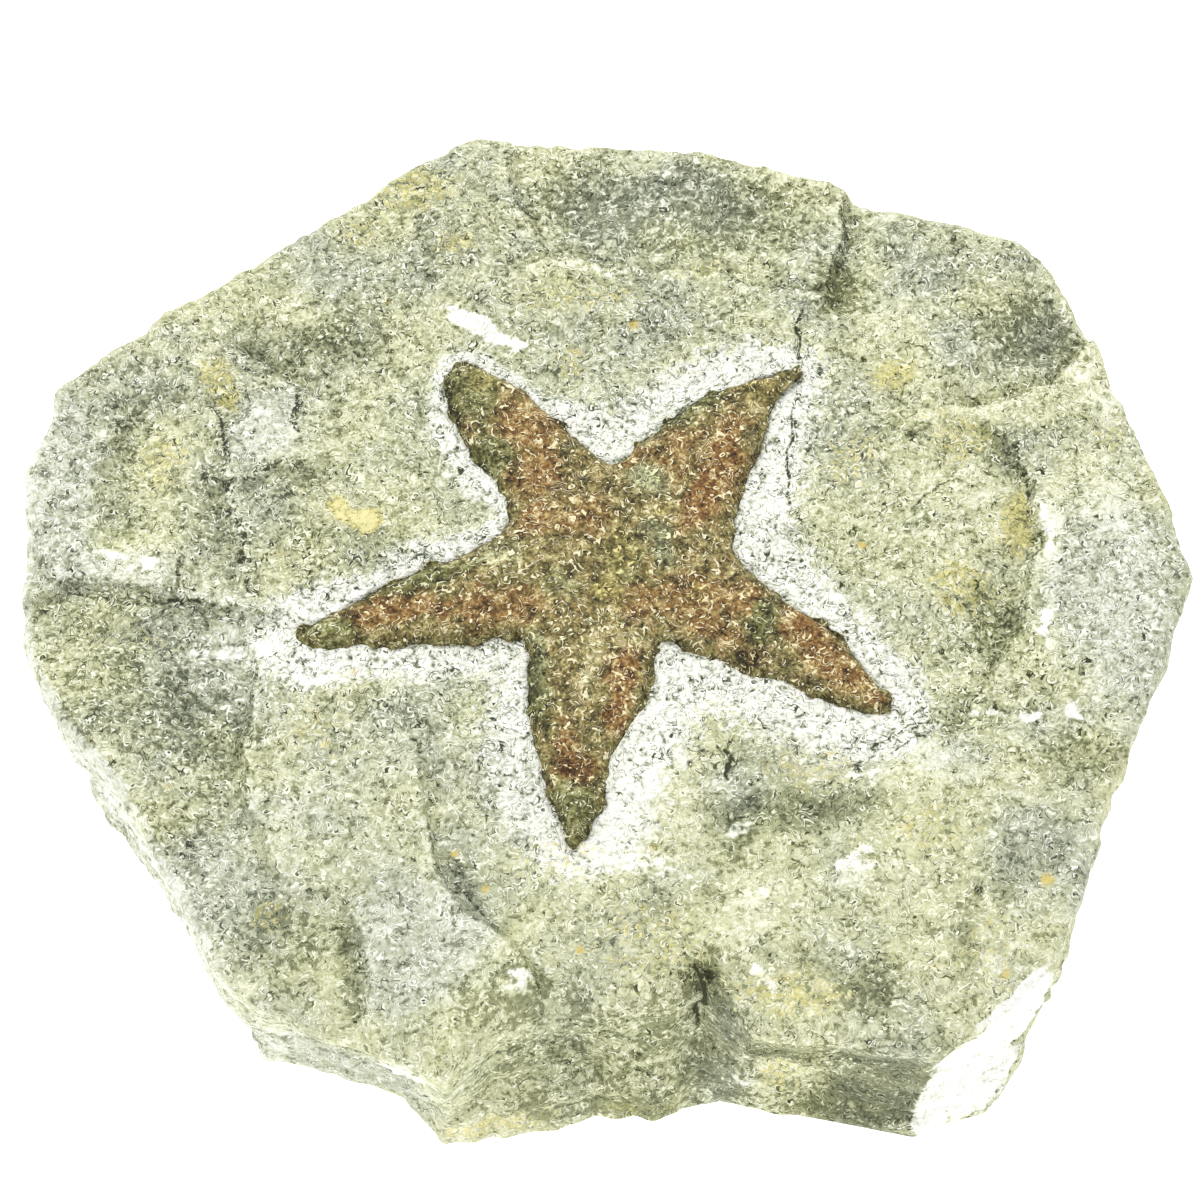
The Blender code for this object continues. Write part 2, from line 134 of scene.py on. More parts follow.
# Broken steps in the upper face: (drop, how far the low side takes to come back up, line). The
# low side is on the right of the line, walked from its first point, and each end tapers out.
# Six of the drops are less than the solid's, because the finish shows those steps as well.
LEDGES = (
    (0.9, 17.0, ((-56.0, -1.0), (-45.3, -2.6), (-41.9, -0.9), (-38.7, -0.9), (-34.8, -1.9),
                 (-30.4, -2.8), (-26.7, -3.3), (-22.5, -5.0))),
    (0.7, 10.0, ((-26.0, -4.5), (-26.9, -8.0), (-27.5, -12.0), (-27.7, -15.2),
                 (-26.8, -20.4), (-24.8, -24.6), (-22.8, -29.0))),
    (0.9, 13.0, ((-2.6, -48.0), (-4.4, -38.3), (-5.4, -35.0), (-9.0, -31.3), (-12.1, -27.2),
                 (-13.1, -22.9), (-14.4, -17.0))),
    (0.7, 6.0, ((-20.0, -26.5), (-18.8, -30.1), (-18.0, -33.0), (-17.5, -35.8),
                (-17.4, -39.0), (-17.2, -47.0))),
    (1.0, 12.0, ((20.5, 25.0), (16.1, 27.0), (8.0, 28.7), (3.0, 29.3), (-1.1, 30.2),
                 (-4.8, 30.3), (-9.0, 27.8))),
    (0.6, 7.0, ((-3.6, 31.0), (-5.2, 32.7), (-7.5, 35.5), (-7.9, 40.6), (-8.2, 49.0))),
    (1.1, 7.0, ((15.9, 23.0), (16.6, 25.3), (18.4, 26.8), (19.6, 31.0), (20.1, 36.5),
                (20.4, 46.0))),
    (1.4, 10.0, ((46.0, 26.0), (39.8, 21.9), (38.0, 19.3), (35.5, 17.6), (32.0, 15.9),
                 (29.6, 15.3), (26.5, 16.2))),
    (0.8, 9.0, ((29.0, 16.6), (31.6, 12.8), (34.3, 9.0), (34.6, 6.6), (35.1, 3.6),
                (34.2, 0.9), (33.3, -2.0), (32.7, -5.3), (31.2, -8.2), (29.0, -12.5))),
    (0.7, 9.0, ((-29.4, 19.0), (-28.4, 15.6), (-30.0, 13.3), (-30.0, 8.1), (-29.2, 4.0),
                (-28.5, -0.4), (-27.0, -3.0))),
    (0.6, 6.0, ((-33.0, 8.6), (-30.0, 8.1), (-27.2, 8.6), (-25.0, 9.6), (-22.8, 10.2),
                (-20.0, 9.4))),
    (0.9, 5.0, ((-21.5, 14.0), (-22.4, 16.6), (-24.6, 17.6), (-27.8, 20.2), (-31.0, 21.6))),
    (0.4, 5.0, ((-37.0, 2.0), (-40.2, 5.0), (-40.4, 9.0), (-39.6, 13.5), (-36.0, 16.5))),
)

# Rounded rises and hollows: (height, x, y, half width across, half width along, turn in degrees),
# where a turn of 0 is left out.
LUMPS = (
    (0.9, -43.0, 10.0, 3.6, 8.0, 8.0),
    (0.6, -37.5, 0.8, 5.5, 1.6, -4.0),
    (-0.9, -26.0, 20.5, 3.6, 2.4, -35.0),
    (-0.5, -37.4, 10.8, 2.4, 4.6),
    (0.6, -7.4, -35.6, 3.0, 2.6),
    (-1.3, 22.4, 28.6, 2.6, 3.6, -30.0),
    (0.5, 38.5, 6.0, 4.0, 9.0),
    (0.5, 31.4, 4.0, 2.6, 2.0, 40.0),
    (-0.7, 31.5, -4.6, 2.0, 4.0, 10.0),
    (-2.2, 7.6, -38.4, 2.4, 4.0),
    (-0.7, 9.8, -22.6, 2.2, 3.0, 20.0),
    (-0.6, 17.0, -31.0, 4.5, 3.0, -25.0),
    (0.5, 13.0, -33.0, 3.5, 2.5),
    (-0.4, -18.0, -12.0, 9.0, 7.0, 20.0),
    (0.4, 24.0, 12.0, 6.0, 6.0),
    (-0.8, -2.0, -40.5, 7.0, 3.0),
)

# Open cracks in the upper face: (depth, half width, line).
CRACKS = (
    (1.2, 0.5, ((15.9, 16.4), (16.2, 18.6), (15.6, 22.6), (16.5, 26.3))),
    (2.4, 0.8, ((8.1, -33.6), (8.0, -36.2), (7.2, -40.7), (7.0, -46.0))),
    (0.8, 0.45, ((-24.2, 17.0), (-24.4, 14.2), (-24.0, 11.2))),
    (0.7, 0.45, ((10.0, -14.2), (9.8, -19.0))),
)

# Bedding joints that show as grooves in the wall: (height, depth, half width).
BEDDING = ((3.6, 0.7, 0.8), (7.4, 0.45, 0.7), (10.6, 0.25, 0.6), (13.4, 0.3, 0.7))

# Starfish margin, anticlockwise from the pit between the right-hand and upper right arms.
MARGIN = (
    (10.5, 1.8), (10.9, 5.9), (11.3, 8.7), (12.6, 11.4), (13.4, 13.9), (14.2, 16.6),
    (15.8, 18.9), (12.7, 18.2), (8.2, 16.5), (4.6, 13.4), (2.3, 11.2),
    (0.6, 10.1), (-3.4, 13.7), (-5.9, 16.6), (-8.7, 18.5), (-10.9, 19.5),
    (-12.3, 19.0), (-12.6, 16.4), (-11.9, 13.7), (-10.5, 10.7), (-8.5, 8.0), (-7.6, 6.1),
    (-7.5, 4.3), (-11.0, 1.6), (-14.2, 0.1), (-18.0, -1.8), (-20.2, -3.2), (-22.2, -4.4),
    (-23.9, -6.1), (-22.6, -7.1), (-19.8, -6.9), (-15.6, -6.6), (-9.9, -6.2), (-7.4, -5.9),
    (-6.0, -6.4), (-5.9, -10.5), (-5.4, -14.5), (-4.7, -17.6), (-3.6, -21.1),
    (-2.3, -24.2), (-0.3, -21.5), (0.1, -19.1), (0.8, -16.5), (2.2, -13.8), (3.6, -10.6),
    (4.5, -6.3), (7.6, -7.7), (9.9, -8.6), (12.2, -9.6), (14.9, -10.6), (18.3, -12.0),
    (20.6, -12.6), (22.3, -11.8), (20.0, -8.1), (17.7, -5.2), (14.7, -2.9), (12.6, -0.9),
)

# ---------------------------------------------------------------- where each finish lies

# Paler (+) and darker (-) places of the upper face: (amount, x, y, half width, half height, turn
# in degrees), where a turn of 0 is left out. The other tables of patches are laid out likewise.
TONE = (
    # upper face, back
    (-0.12, 6.0, 35.5, 12.0, 4.0, -4.0), (-0.15, 14.5, 34.5, 5.0, 3.0, -15.0),
    (-0.2, -3.0, 37.0, 5.0, 3.5), (-0.35, 19.8, 28.0, 2.6, 3.0, -10.0),
    (-0.25, 34.0, 24.0, 5.0, 3.6, -35.0), (-0.15, 26.5, 29.0, 5.0, 3.5, -20.0),
    (0.25, 23.0, 35.5, 2.5, 1.0, -15.0), (-0.2, -17.0, 31.0, 9.0, 5.0, 40.0),
    (-0.35, -22.5, 21.5, 6.5, 2.2, 12.0), (-0.1, 4.0, 25.0, 11.0, 4.0),
    # left; the dark band under the ledge at x -37.5 and the thin dark one at x -19 are painted
    # shade
    (0.1, -43.5, 7.0, 2.6, 9.0), (-0.25, -38.5, 12.0, 1.1, 4.5, 8.0),
    (-0.3, -36.0, 16.5, 2.5, 1.0, 10.0), (-0.2, -38.0, 5.0, 2.0, 2.5),
    (0.35, -38.0, 0.5, 4.2, 1.8, -4.0), (0.3, -27.0, 13.5, 3.0, 3.2),
    (-0.15, -25.5, 8.4, 4.0, 1.1, 10.0), (-0.2, -22.0, 3.5, 6.0, 5.0),
    (-0.3, -31.5, 5.0, 1.5, 4.5, 5.0), (-0.25, -37.5, -4.2, 7.5, 2.0, -3.0),
    (0.7, -20.5, 5.6, 1.4, 1.0, -20.0), (0.9, -18.6, 4.6, 1.3, 1.0),
    (0.4, -28.0, -5.5, 3.2, 3.0), (-0.4, -36.0, -11.5, 6.0, 5.0, -20.0),
    (-0.35, -29.5, -14.5, 3.0, 4.0, 20.0), (-0.25, -31.0, -22.0, 3.5, 3.0, -30.0),
    (-0.4, -24.5, -32.0, 3.6, 4.5, 15.0), (-0.5, -19.0, -33.5, 1.0, 4.5, 4.0),
    (-0.15, -28.0, 28.0, 6.0, 3.0, 35.0),
    (0.15, -20.0, -20.0, 5.0, 5.0), (0.12, -13.5, -32.0, 5.0, 5.0),
    # front
    (-0.3, -10.5, -27.0, 0.8, 2.6, 28.0), (0.1, -10.5, -21.0, 3.5, 4.0),
    (0.1, 4.5, -22.0, 5.0, 4.5), (-0.5, 12.5, -21.5, 5.0, 1.8),
    (-0.45, 9.8, -23.5, 1.5, 2.0, 10.0), (-0.45, 18.0, -20.5, 4.0, 1.6, -10.0),
    (-0.35, 8.5, -28.0, 1.6, 1.4), (-0.3, 4.5, -29.5, 1.8, 1.6),
    (-0.5, 20.5, -36.0, 1.8, 2.6, 20.0), (-0.35, 16.0, -34.0, 3.0, 1.0, -25.0),
    (0.1, 12.0, -27.5, 4.0, 2.0), (-0.7, 7.5, -36.0, 2.0, 2.4),
    (0.4, 19.5, -26.5, 3.5, 1.1, 10.0), (0.35, 11.0, -30.5, 2.0, 2.5),
    (-0.4, 27.0, -32.0, 1.1, 3.5, -8.0), (-0.35, 30.5, -27.0, 1.1, 3.2, -8.0),
    (-0.25, 34.5, -23.5, 1.8, 4.0, -10.0), (0.15, 29.5, -33.0, 3.0, 4.0),
    # right
    (-0.45, 23.5, 13.5, 2.2, 1.5, -20.0), (-0.45, 31.0, -4.0, 2.2, 4.2, 5.0),
    (-0.35, 27.0, -12.5, 3.5, 2.0, 10.0), (-0.4, 36.5, -17.0, 4.0, 1.8, 5.0),
    (-0.3, 32.0, 11.5, 2.2, 2.4), (0.2, 28.5, 6.5, 3.6, 4.0),
    (0.3, 40.0, 17.0, 1.8, 4.5, 15.0), (0.22, 40.0, 0.0, 4.5, 11.0),
    (0.4, 35.8, 2.5, 1.0, 5.0, -4.0), (0.2, 25.0, -18.0, 4.0, 2.2),
)

# Grey coat of weathering that has not flaked off yet.
PATINA = (
    (0.6, 6.0, 35.5, 13.0, 4.5, -4.0), (0.55, 19.8, 28.0, 2.6, 3.0),
    (0.65, 35.0, 23.0, 3.8, 3.6, -35.0), (0.25, -22.5, 21.5, 6.0, 2.4, 12.0),
    (0.3, -38.0, 12.5, 1.8, 4.5, 8.0), (0.2, -25.5, 8.3, 4.0, 1.5, 10.0),
    (0.25, -36.0, -10.0, 7.0, 6.0, -20.0), (0.25, -30.0, -18.0, 4.5, 5.0),
    (0.3, -24.0, -32.0, 3.6, 4.5, 15.0), (0.35, 31.0, -4.0, 2.2, 4.2, 5.0),
    (0.25, 36.0, -16.0, 4.0, 2.5), (0.3, 10.0, -24.5, 2.6, 2.6),
    (0.5, -4.0, -38.5, 8.0, 3.4, -12.0), (0.6, 7.5, -36.5, 3.0, 3.2),
    (0.4, 19.5, -36.5, 3.4, 2.2, 25.0), (0.25, 24.0, 15.0, 2.6, 2.0),
)

# Yellowish limonite stain.
WARM = (
    (1.2, -20.5, 5.6, 1.4, 1.0, -20.0), (1.8, -18.6, 4.6, 1.4, 1.1),
    (0.6, -31.2, 18.0, 1.8, 2.0), (0.7, -30.4, 15.8, 1.0, 0.9),
    (0.4, -35.5, 10.0, 2.4, 3.6), (0.45, -15.5, 37.5, 4.0, 3.0, 30.0),
    (0.5, -12.4, 31.0, 2.0, 1.4), (0.35, -20.5, 33.0, 2.4, 1.4, 40.0),
    (0.35, -1.5, 26.0, 5.5, 2.0), (0.35, 8.0, 29.0, 3.4, 1.6),
    (0.4, -2.5, 20.0, 1.5, 1.8), (0.6, 23.6, 18.5, 2.4, 1.8),
    (0.75, 33.0, 5.0, 1.5, 3.2), (0.5, 28.5, -1.0, 3.0, 2.6),
    (0.4, 20.0, 10.5, 2.4, 3.0), (0.4, 28.5, 12.5, 3.0, 3.4),
    (0.4, 40.5, 12.5, 2.0, 1.6, -20.0), (0.35, 15.5, -17.5, 4.5, 2.2),
    (0.35, 3.0, -32.5, 5.0, 3.6), (0.4, 14.0, -36.5, 5.5, 2.2),
    (0.3, -3.0, -25.0, 4.0, 2.6), (0.45, -25.0, -30.0, 1.8, 1.4),
    (0.3, 29.0, -33.0, 3.0, 4.0), (0.35, 25.0, -23.0, 3.0, 2.6),
    (0.3, -37.0, -6.0, 5.0, 1.8), (0.3, -22.0, -14.0, 2.6, 2.4),
)

# Bluish instead of yellowish clay between the grains.
COOL = (
    (0.8, -43.5, 7.5, 2.8, 8.5), (0.6, -27.0, 13.5, 3.6, 4.0),
    (0.4, -33.0, -11.0, 8.0, 8.0), (0.6, 40.0, -2.0, 4.6, 12.0),
    (0.35, 34.0, -24.0, 5.0, 7.0), (0.5, -27.0, -29.0, 6.0, 10.0),
    (0.6, -14.5, -32.5, 5.5, 6.0), (0.5, -38.0, -0.5, 5.0, 2.2),
    (0.4, -22.5, 29.0, 5.5, 4.5), (0.35, 3.0, 36.0, 8.0, 3.6),
    (0.5, 27.0, -17.0, 4.0, 2.2), (0.4, 24.0, 27.0, 4.0, 4.0),
)

# Small iron spots.
OCHRE = (
    (0.9, 33.6, -27.1, 0.7, 0.6), (0.9, 30.1, -35.0, 0.4, 0.5),
    (0.9, -1.7, -32.8, 0.4, 0.4), (0.9, 20.5, 2.7, 0.5, 0.4),
    (0.8, 2.5, 23.2, 0.5, 0.5), (0.6, -2.2, 20.8, 0.4, 0.4),
    (0.8, -11.3, -24.3, 0.4, 0.4), (0.8, -8.9, -27.3, 0.4, 0.4),
    (0.6, -19.4, -9.0, 0.5, 0.4), (0.5, 24.9, -34.4, 0.5, 0.4),
    (0.6, 28.8, -22.9, 0.3, 0.3), (0.5, 13.5, 23.4, 0.3, 0.4),
    (0.5, -17.6, 25.4, 0.4, 0.4), (0.5, -33.3, -19.2, 0.5, 0.4),
    (0.5, -25.4, 1.4, 0.4, 0.4), (0.45, 4.0, -24.3, 0.6, 0.5),
)

# Small dark pits.
PITS = (
    (1.0, 24.8, 12.5, 0.4, 0.4), (1.0, 28.4, -27.9, 0.4, 0.5),
    (0.8, -7.6, 30.1, 0.4, 0.4), (0.8, 30.5, -24.1, 0.2, 0.3),
    (0.7, -11.6, 36.9, 0.3, 0.3), (0.8, 7.6, -34.5, 0.8, 0.6),
)

# White chips where the stone was knocked or scraped.
CHIPS = (
    (1.2, -10.3, 23.7, 2.8, 0.9, -30.0), (0.9, -7.3, 22.1, 1.6, 0.4, -20.0),
    (0.8, 33.2, -12.7, 1.0, 0.6), (0.7, 35.9, -12.7, 0.9, 0.9),
    (0.6, 18.9, -25.7, 2.2, 0.7, -10.0), (0.55, 20.4, -24.6, 1.6, 0.5, 15.0),
    (0.5, 12.2, -27.9, 0.5, 1.2, -15.0),
    (0.5, 14.1, -28.9, 0.7, 0.5), (0.5, 9.2, 23.2, 0.7, 0.5),
    (0.6, 9.9, -22.6, 1.4, 1.0), (0.55, -6.3, -35.6, 1.6, 1.1, 30.0),
    (0.55, -4.6, -33.8, 0.5, 1.6, 30.0), (0.6, -38.6, 1.2, 2.2, 0.6, -12.0),
    (0.6, -36.0, 0.0, 1.8, 0.7, 20.0), (0.5, 20.5, -18.0, 5.5, 0.5, 4.0),
    (0.5, 22.8, -16.1, 4.7, 0.5, 10.0), (0.5, 29.9, -12.6, 2.0, 0.6),
    (0.7, 34.6, -4.6, 0.6, 1.8), (0.7, 35.4, 4.5, 0.6, 2.6, -4.0),
    (0.5, -0.2, 29.2, 3.1, 0.4), (0.5, 38.4, 18.5, 0.5, 2.4, 40.0),
    (0.6, 12.0, -35.5, 0.6, 2.4, 30.0), (0.5, 3.5, -25.5, 5.0, 1.2, -10.0),
    (0.6, -29.9, -6.6, 2.8, 0.7), (0.5, -20.4, -9.6, 4.7, 0.7),
)

# Thin dark lines: layers parting, shallow cracks, and painted shade at steps: (strength, half
# width, line).
LINES = (
    (1.0, 0.12, ((15.8, 18.4), (15.8, 21.3), (15.7, 24.0), (16.1, 25.4))),
    (0.5, 0.1, ((16.1, 25.4), (17.2, 26.4), (18.8, 28.4))),
    (0.6, 0.1, ((19.8, 31.3), (20.2, 33.0), (20.0, 36.4))),
    (0.5, 0.1, ((13.6, 28.5), (15.4, 27.3), (16.2, 26.5))),
    (1.0, 0.2, ((7.7, -34.6), (7.4, -35.8), (7.5, -37.0), (7.2, -38.6))),
    (0.9, 0.12, ((9.7, -15.0), (9.8, -16.6), (9.5, -18.0), (10.2, -19.0))),
    (0.7, 0.1, ((-8.4, 42.3), (-8.0, 39.9), (-7.5, 36.6), (-6.7, 35.4), (-5.3, 34.1))),
    (0.9, 0.1, ((-24.6, 18.4), (-24.6, 16.1), (-24.9, 14.1), (-24.2, 12.6), (-23.8, 12.0))),
    (0.9, 0.12, ((-32.5, 16.3), (-31.7, 14.9), (-30.6, 13.1), (-30.1, 10.7), (-29.8, 8.1),
                 (-29.5, 6.3), (-28.8, 3.8), (-28.4, 1.1), (-28.1, -1.6), (-26.2, -2.4))),
    (0.8, 0.15, ((-33.5, 1.4), (-33.6, -0.7), (-33.6, -2.4))),
    (0.55, 0.1, ((-42.7, -1.7), (-39.6, -2.0), (-36.4, -2.6), (-33.6, -2.4), (-31.2, -2.8))),
    (0.8, 0.12, ((-29.9, 8.0), (-28.1, 8.5), (-26.6, 9.2), (-25.5, 9.4), (-24.4, 10.6))),
    (0.6, 0.1, ((28.5, 9.9), (27.3, 8.5), (25.7, 7.2), (24.2, 5.1))),
    (0.6, 0.12, ((32.3, 12.9), (33.4, 9.4), (34.0, 6.4), (34.7, 3.4), (34.2, 1.0))),
    (0.6, 0.1, ((39.7, 10.2), (41.6, 8.4), (43.5, 6.9))),
    (0.3, 0.1, ((-12.6, -24.7), (-11.6, -27.0), (-9.7, -28.9), (-8.5, -31.1), (-7.6, -32.9),
                 (-6.2, -33.9), (-5.3, -35.4), (-4.5, -36.9))),
    (0.7, 0.12, ((15.2, 16.0), (15.0, 12.6), (14.7, 9.4), (14.9, 6.0), (16.2, 3.4))),
    (0.6, 0.12, ((-5.9, -4.9), (-5.1, -7.0), (-4.8, -10.6), (-4.9, -14.1))),
    (0.6, 0.1, ((24.0, 15.9), (24.5, 17.6), (25.7, 18.5))),
    (0.6, 0.1, ((20.5, -15.8), (23.3, -13.9), (26.4, -13.6))),
    (0.5, 0.1, ((19.7, -16.9), (22.9, -15.7), (26.0, -14.7))),
    (0.6, 0.12, ((18.5, -29.2), (19.0, -30.7), (19.4, -32.4))),
)

# The open crack carries on down the front wall: (strength, x, half width, lowest, highest).
CLEFT = (1.0, 7.3, 0.16, 9.0, 19.0)

# Width of the bruised band at each point of the margin.
BAND = (
    5.0, 5.5, 5.5, 5.0, 3.5, 4.5, 2.5, 4.5, 4.0, 4.5, 5.0,
    5.0, 3.5, 1.5, 1.5, 2.0,
    1.5, 1.5, 2.5, 2.5, 3.0, 1.0,
    2.0, 2.5, 3.5, 1.5, 3.0, 4.0, 4.5,
    4.5, 2.5, 4.5, 3.5, 4.0, 4.5,
    2.5, 5.0, 6.0, 3.5, 3.0,
    5.5, 5.0, 6.0, 6.5, 5.5, 6.0,
    6.0, 4.0, 6.0, 6.0, 5.0, 6.0,
    3.5, 3.0, 3.0, 4.5, 6.0,
)

# Patches on the starfish, first those of deep rust.
RUST = (
    (0.8, -6.2, 13.0, 2.4, 3.0, 30.0), (0.7, -5.2, 8.5, 2.0, 2.2, 20.0),
    (0.7, -5.5, 4.5, 1.2, 1.6), (0.6, 2.2, 10.2, 1.6, 1.2, 30.0),
    (1.0, 9.6, 9.5, 1.7, 5.0, -12.0), (0.8, 7.4, 6.0, 1.2, 3.0, -20.0),
    (0.6, 7.0, -3.0, 3.2, 2.6, -30.0), (0.5, -2.0, 4.5, 3.0, 2.0),
    (0.8, -16.5, -4.0, 4.5, 1.4, 8.0), (0.7, -8.5, -3.8, 4.5, 1.8, 5.0),
    (0.6, 11.5, -3.0, 3.0, 1.6, -38.0), (0.5, 9.5, -6.5, 3.0, 1.2, -25.0),
    (0.5, 6.0, 11.0, 2.0, 3.0, -30.0),
    (1.0, 1.7, -9.8, 1.1, 2.8, -20.0), (0.9, 0.9, -13.0, 1.1, 1.8, -15.0),
    (0.6, -3.0, -15.5, 1.2, 2.0), (0.9, -1.8, -17.8, 1.9, 0.9),
    (0.9, 15.5, -5.2, 3.6, 1.4, -38.0), (0.8, 18.0, -9.0, 3.2, 1.4, -32.0),
    (1.0, 21.2, -11.2, 0.9, 0.7), (0.5, 2.6, -3.4, 1.8, 1.4),
)
# Olive ends and edges.
OLIVE = (
    (1.0, -10.6, 16.9, 2.2, 2.9, 10.0), (0.9, -9.0, 10.8, 0.9, 3.0, 25.0),
    (0.7, 7.4, 15.2, 3.0, 1.1, 35.0), (0.9, 12.7, -5.0, 1.3, 2.8, -25.0),
    (1.0, -21.6, -5.6, 2.2, 1.4), (0.9, -4.8, -10.0, 1.0, 4.2, 5.0),
    (0.9, -1.9, -21.2, 1.4, 2.8), (0.8, -12.6, -0.6, 4.2, 0.9, 18.0),
    (0.6, 1.4, 0.8, 1.4, 2.6), (0.5, -3.4, -1.8, 1.8, 1.6),
)
# More cream flecks.
CREAM = (
    (0.9, -0.9, -9.4, 0.9, 2.6, -10.0), (0.9, 1.6, -6.9, 2.4, 0.9, 5.0),
    (0.9, 4.6, 5.2, 1.1, 0.9), (0.7, 3.6, 8.4, 2.0, 1.6),
    (0.6, -8.4, 0.6, 2.4, 1.8), (0.7, 8.2, 11.0, 0.6, 3.0, -12.0),
    (0.5, -3.0, 6.5, 2.4, 2.2), (0.5, 17.0, -8.0, 2.4, 0.9, -35.0),
    (0.6, 6.6, -1.6, 2.2, 1.0, -35.0), (0.5, 0.0, -4.6, 2.4, 1.0),
)
# Greenish mineral.
VERDIGRIS = (
    (0.8, 3.4, 8.2, 1.8, 1.5), (0.9, 4.3, 2.0, 1.2, 2.2),
    (0.5, -8.2, 1.0, 2.4, 1.8), (0.5, -4.9, -9.0, 0.9, 3.6, 5.0),
)
# Yellowest places.
SULPHUR = (
    (1.0, 1.3, 1.4, 1.3, 2.4), (1.0, 0.5, -2.0, 1.3, 1.3),
    (0.7, 4.8, 5.4, 0.9, 0.7), (0.5, 7.4, -2.6, 1.4, 1.2, -30.0),
    (0.7, -9.6, 17.4, 1.4, 1.6), (0.6, 12.6, 16.8, 1.8, 1.4, 35.0),
)

# Paler and darker places of the crust. The darker ones along the left and upper edges of the
# arms are painted shade.
SHADE = (
    (0.4, -0.9, -9.2, 1.1, 2.4, -10.0), (0.4, 1.6, -6.8, 2.4, 0.9, 5.0),
    (0.3, -8.4, 0.6, 2.4, 1.6), (0.3, 4.6, 5.2, 1.2, 1.0),
    (0.25, 3.4, 8.4, 1.8, 1.4), (0.25, 0.5, -2.0, 1.2, 1.2),
    (-0.35, -14.0, -1.6, 5.0, 0.7, 18.0), (-0.5, -12.0, 16.0, 0.6, 3.0, 6.0),
    (-0.3, -9.4, 10.4, 0.9, 2.8, 25.0), (-0.4, -5.2, -10.0, 0.9, 4.0, 5.0),
    (-0.25, 7.4, 15.0, 3.0, 1.0, 35.0), (-0.4, 12.6, -5.4, 1.2, 2.4, -25.0),
    (-0.9, 11.1, -8.4, 0.5, 0.8), (-0.4, -1.8, -17.6, 2.0, 0.9),
    (-0.3, -2.4, 8.3, 2.0, 1.4), (-0.6, -19.5, -4.4, 0.4, 1.4),
    (-0.3, -1.8, -22.4, 1.2, 2.0), (-0.25, 5.6, 1.4, 0.6, 2.6),
    (-0.3, -8.6, 13.8, 1.6, 0.5, -55.0), (0.2, -6.4, 11.6, 1.6, 1.4),
)

# Finish of the walls: (amount, x, y, z, half width, half height).
WALL_TONE = (
    (0.4, -44.0, -7.0, 9.0, 9.0, 14.0), (0.4, -36.0, -21.0, 9.0, 10.0, 14.0),
    (0.35, -29.5, -32.0, 9.0, 8.0, 14.0), (0.4, -45.0, 8.0, 9.0, 10.0, 14.0),
    (0.4, -14.5, -42.0, 13.0, 3.0, 4.0),
    (0.4, -9.5, -41.0, 3.0, 4.0, 1.6), (-0.35, -3.0, -40.0, 11.0, 7.0, 4.5),
    (0.35, 14.5, -38.5, 7.0, 3.0, 3.0), (0.25, 9.0, -38.5, 6.0, 2.5, 2.0),
    (-0.5, 20.0, -40.0, 4.0, 5.5, 5.0), (-0.4, 14.0, -40.0, 12.5, 6.0, 2.0),
    (-0.4, 22.0, -40.0, 12.5, 3.5, 3.0), (-0.2, 2.0, -39.0, 5.0, 9.0, 1.5),
)

WALL_PATINA = (
    (0.3, -7.0, -40.0, 10.0, 5.0, 5.0), (0.25, 0.0, -39.0, 9.0, 4.0, 5.0),
    (0.6, 6.0, -37.0, 13.0, 3.5, 4.5), (0.6, 8.0, -37.0, 8.5, 2.5, 5.5),
    (0.6, 8.5, -38.5, 3.5, 5.0, 3.0), (0.6, 2.5, -39.5, 2.5, 4.0, 2.0),
    (0.8, 13.0, -39.5, 14.5, 6.0, 2.0), (0.9, 20.5, -40.5, 13.5, 5.0, 3.0),
    (0.9, 21.5, -40.5, 8.0, 4.5, 5.5), (0.7, 18.0, -39.5, 3.0, 5.0, 3.5),
    (0.7, 12.5, -38.5, 10.5, 2.5, 3.0), (0.5, -4.0, -39.5, 4.0, 5.0, 1.6),
)

WALL_COOL = (
    (0.8, -40.0, -15.0, 9.0, 22.0, 14.0), (1.0, -20.5, -37.5, 7.0, 8.0, 6.5),
)
WALL_CHIPS = (
    (1.0, 26.5, -40.5, 8.0, 2.2, 8.0), (1.0, 29.0, -38.5, 10.0, 2.6, 9.5),
    (1.0, 31.0, -37.0, 12.0, 2.4, 9.5), (1.0, 32.5, -36.0, 15.5, 2.0, 8.0),
    (1.0, 25.0, -40.5, 3.5, 1.4, 4.5), (0.7, 10.5, -38.5, 5.0, 1.6, 0.8),
    (0.7, -15.5, -41.5, 12.5, 2.6, 2.4),
)
WALL_WARM = (
    (0.5, -8.5, -41.0, 3.0, 5.0, 1.6), (0.4, 13.5, -38.5, 6.5, 2.4, 3.5),
    (0.4, -22.5, -43.0, 18.0, 5.0, 1.2), (0.3, 3.0, -39.5, 2.5, 5.0, 1.2),
)

# Colours of a finish from its darkest to its palest, evenly spaced.
WARM_CLAY = ("#3d4028", "#757853", "#9da076", "#bfc197", "#d8d9b3", "#efefd6")
COOL_CLAY = ("#3b4134", "#757b67", "#9ca189", "#bdc1a9", "#d8dbc9", "#eef0e6")
TOOLED = ("#3f4634", "#858c76", "#c6cab7", "#edeee2", "#f8f8ee", "#fcfcf7")
BROWN_CRUST = ("#211e10", "#494327", "#70683c", "#958d5a", "#c1b982", "#edeac6")
RUSTY_CRUST = ("#28180c", "#53371b", "#7a562c", "#9c7a47", "#cab179", "#f0e6bc")
OLIVE_CRUST = ("#202010", "#484726", "#6f6e3e", "#94935f", "#bcbb8b", "#e4e3c2")

# Noises of a finish: (name, how many to a millimetre, extra octaves).
STONE_NOISES = (("dust", 4.2, 1.0), ("fleck", 2.0, 1.0), ("mottle", 0.8, 3.0),
                ("crumb", 1.2, 2.0), ("coat", 0.7, 3.0))
CRUST_NOISES = (("dust", 4.0, 1.0), ("fleck", 2.0, 1.0), ("mottle", 0.9, 3.0),
                ("gate", 1.5, 2.0))


# ---------------------------------------------------------------- formulas

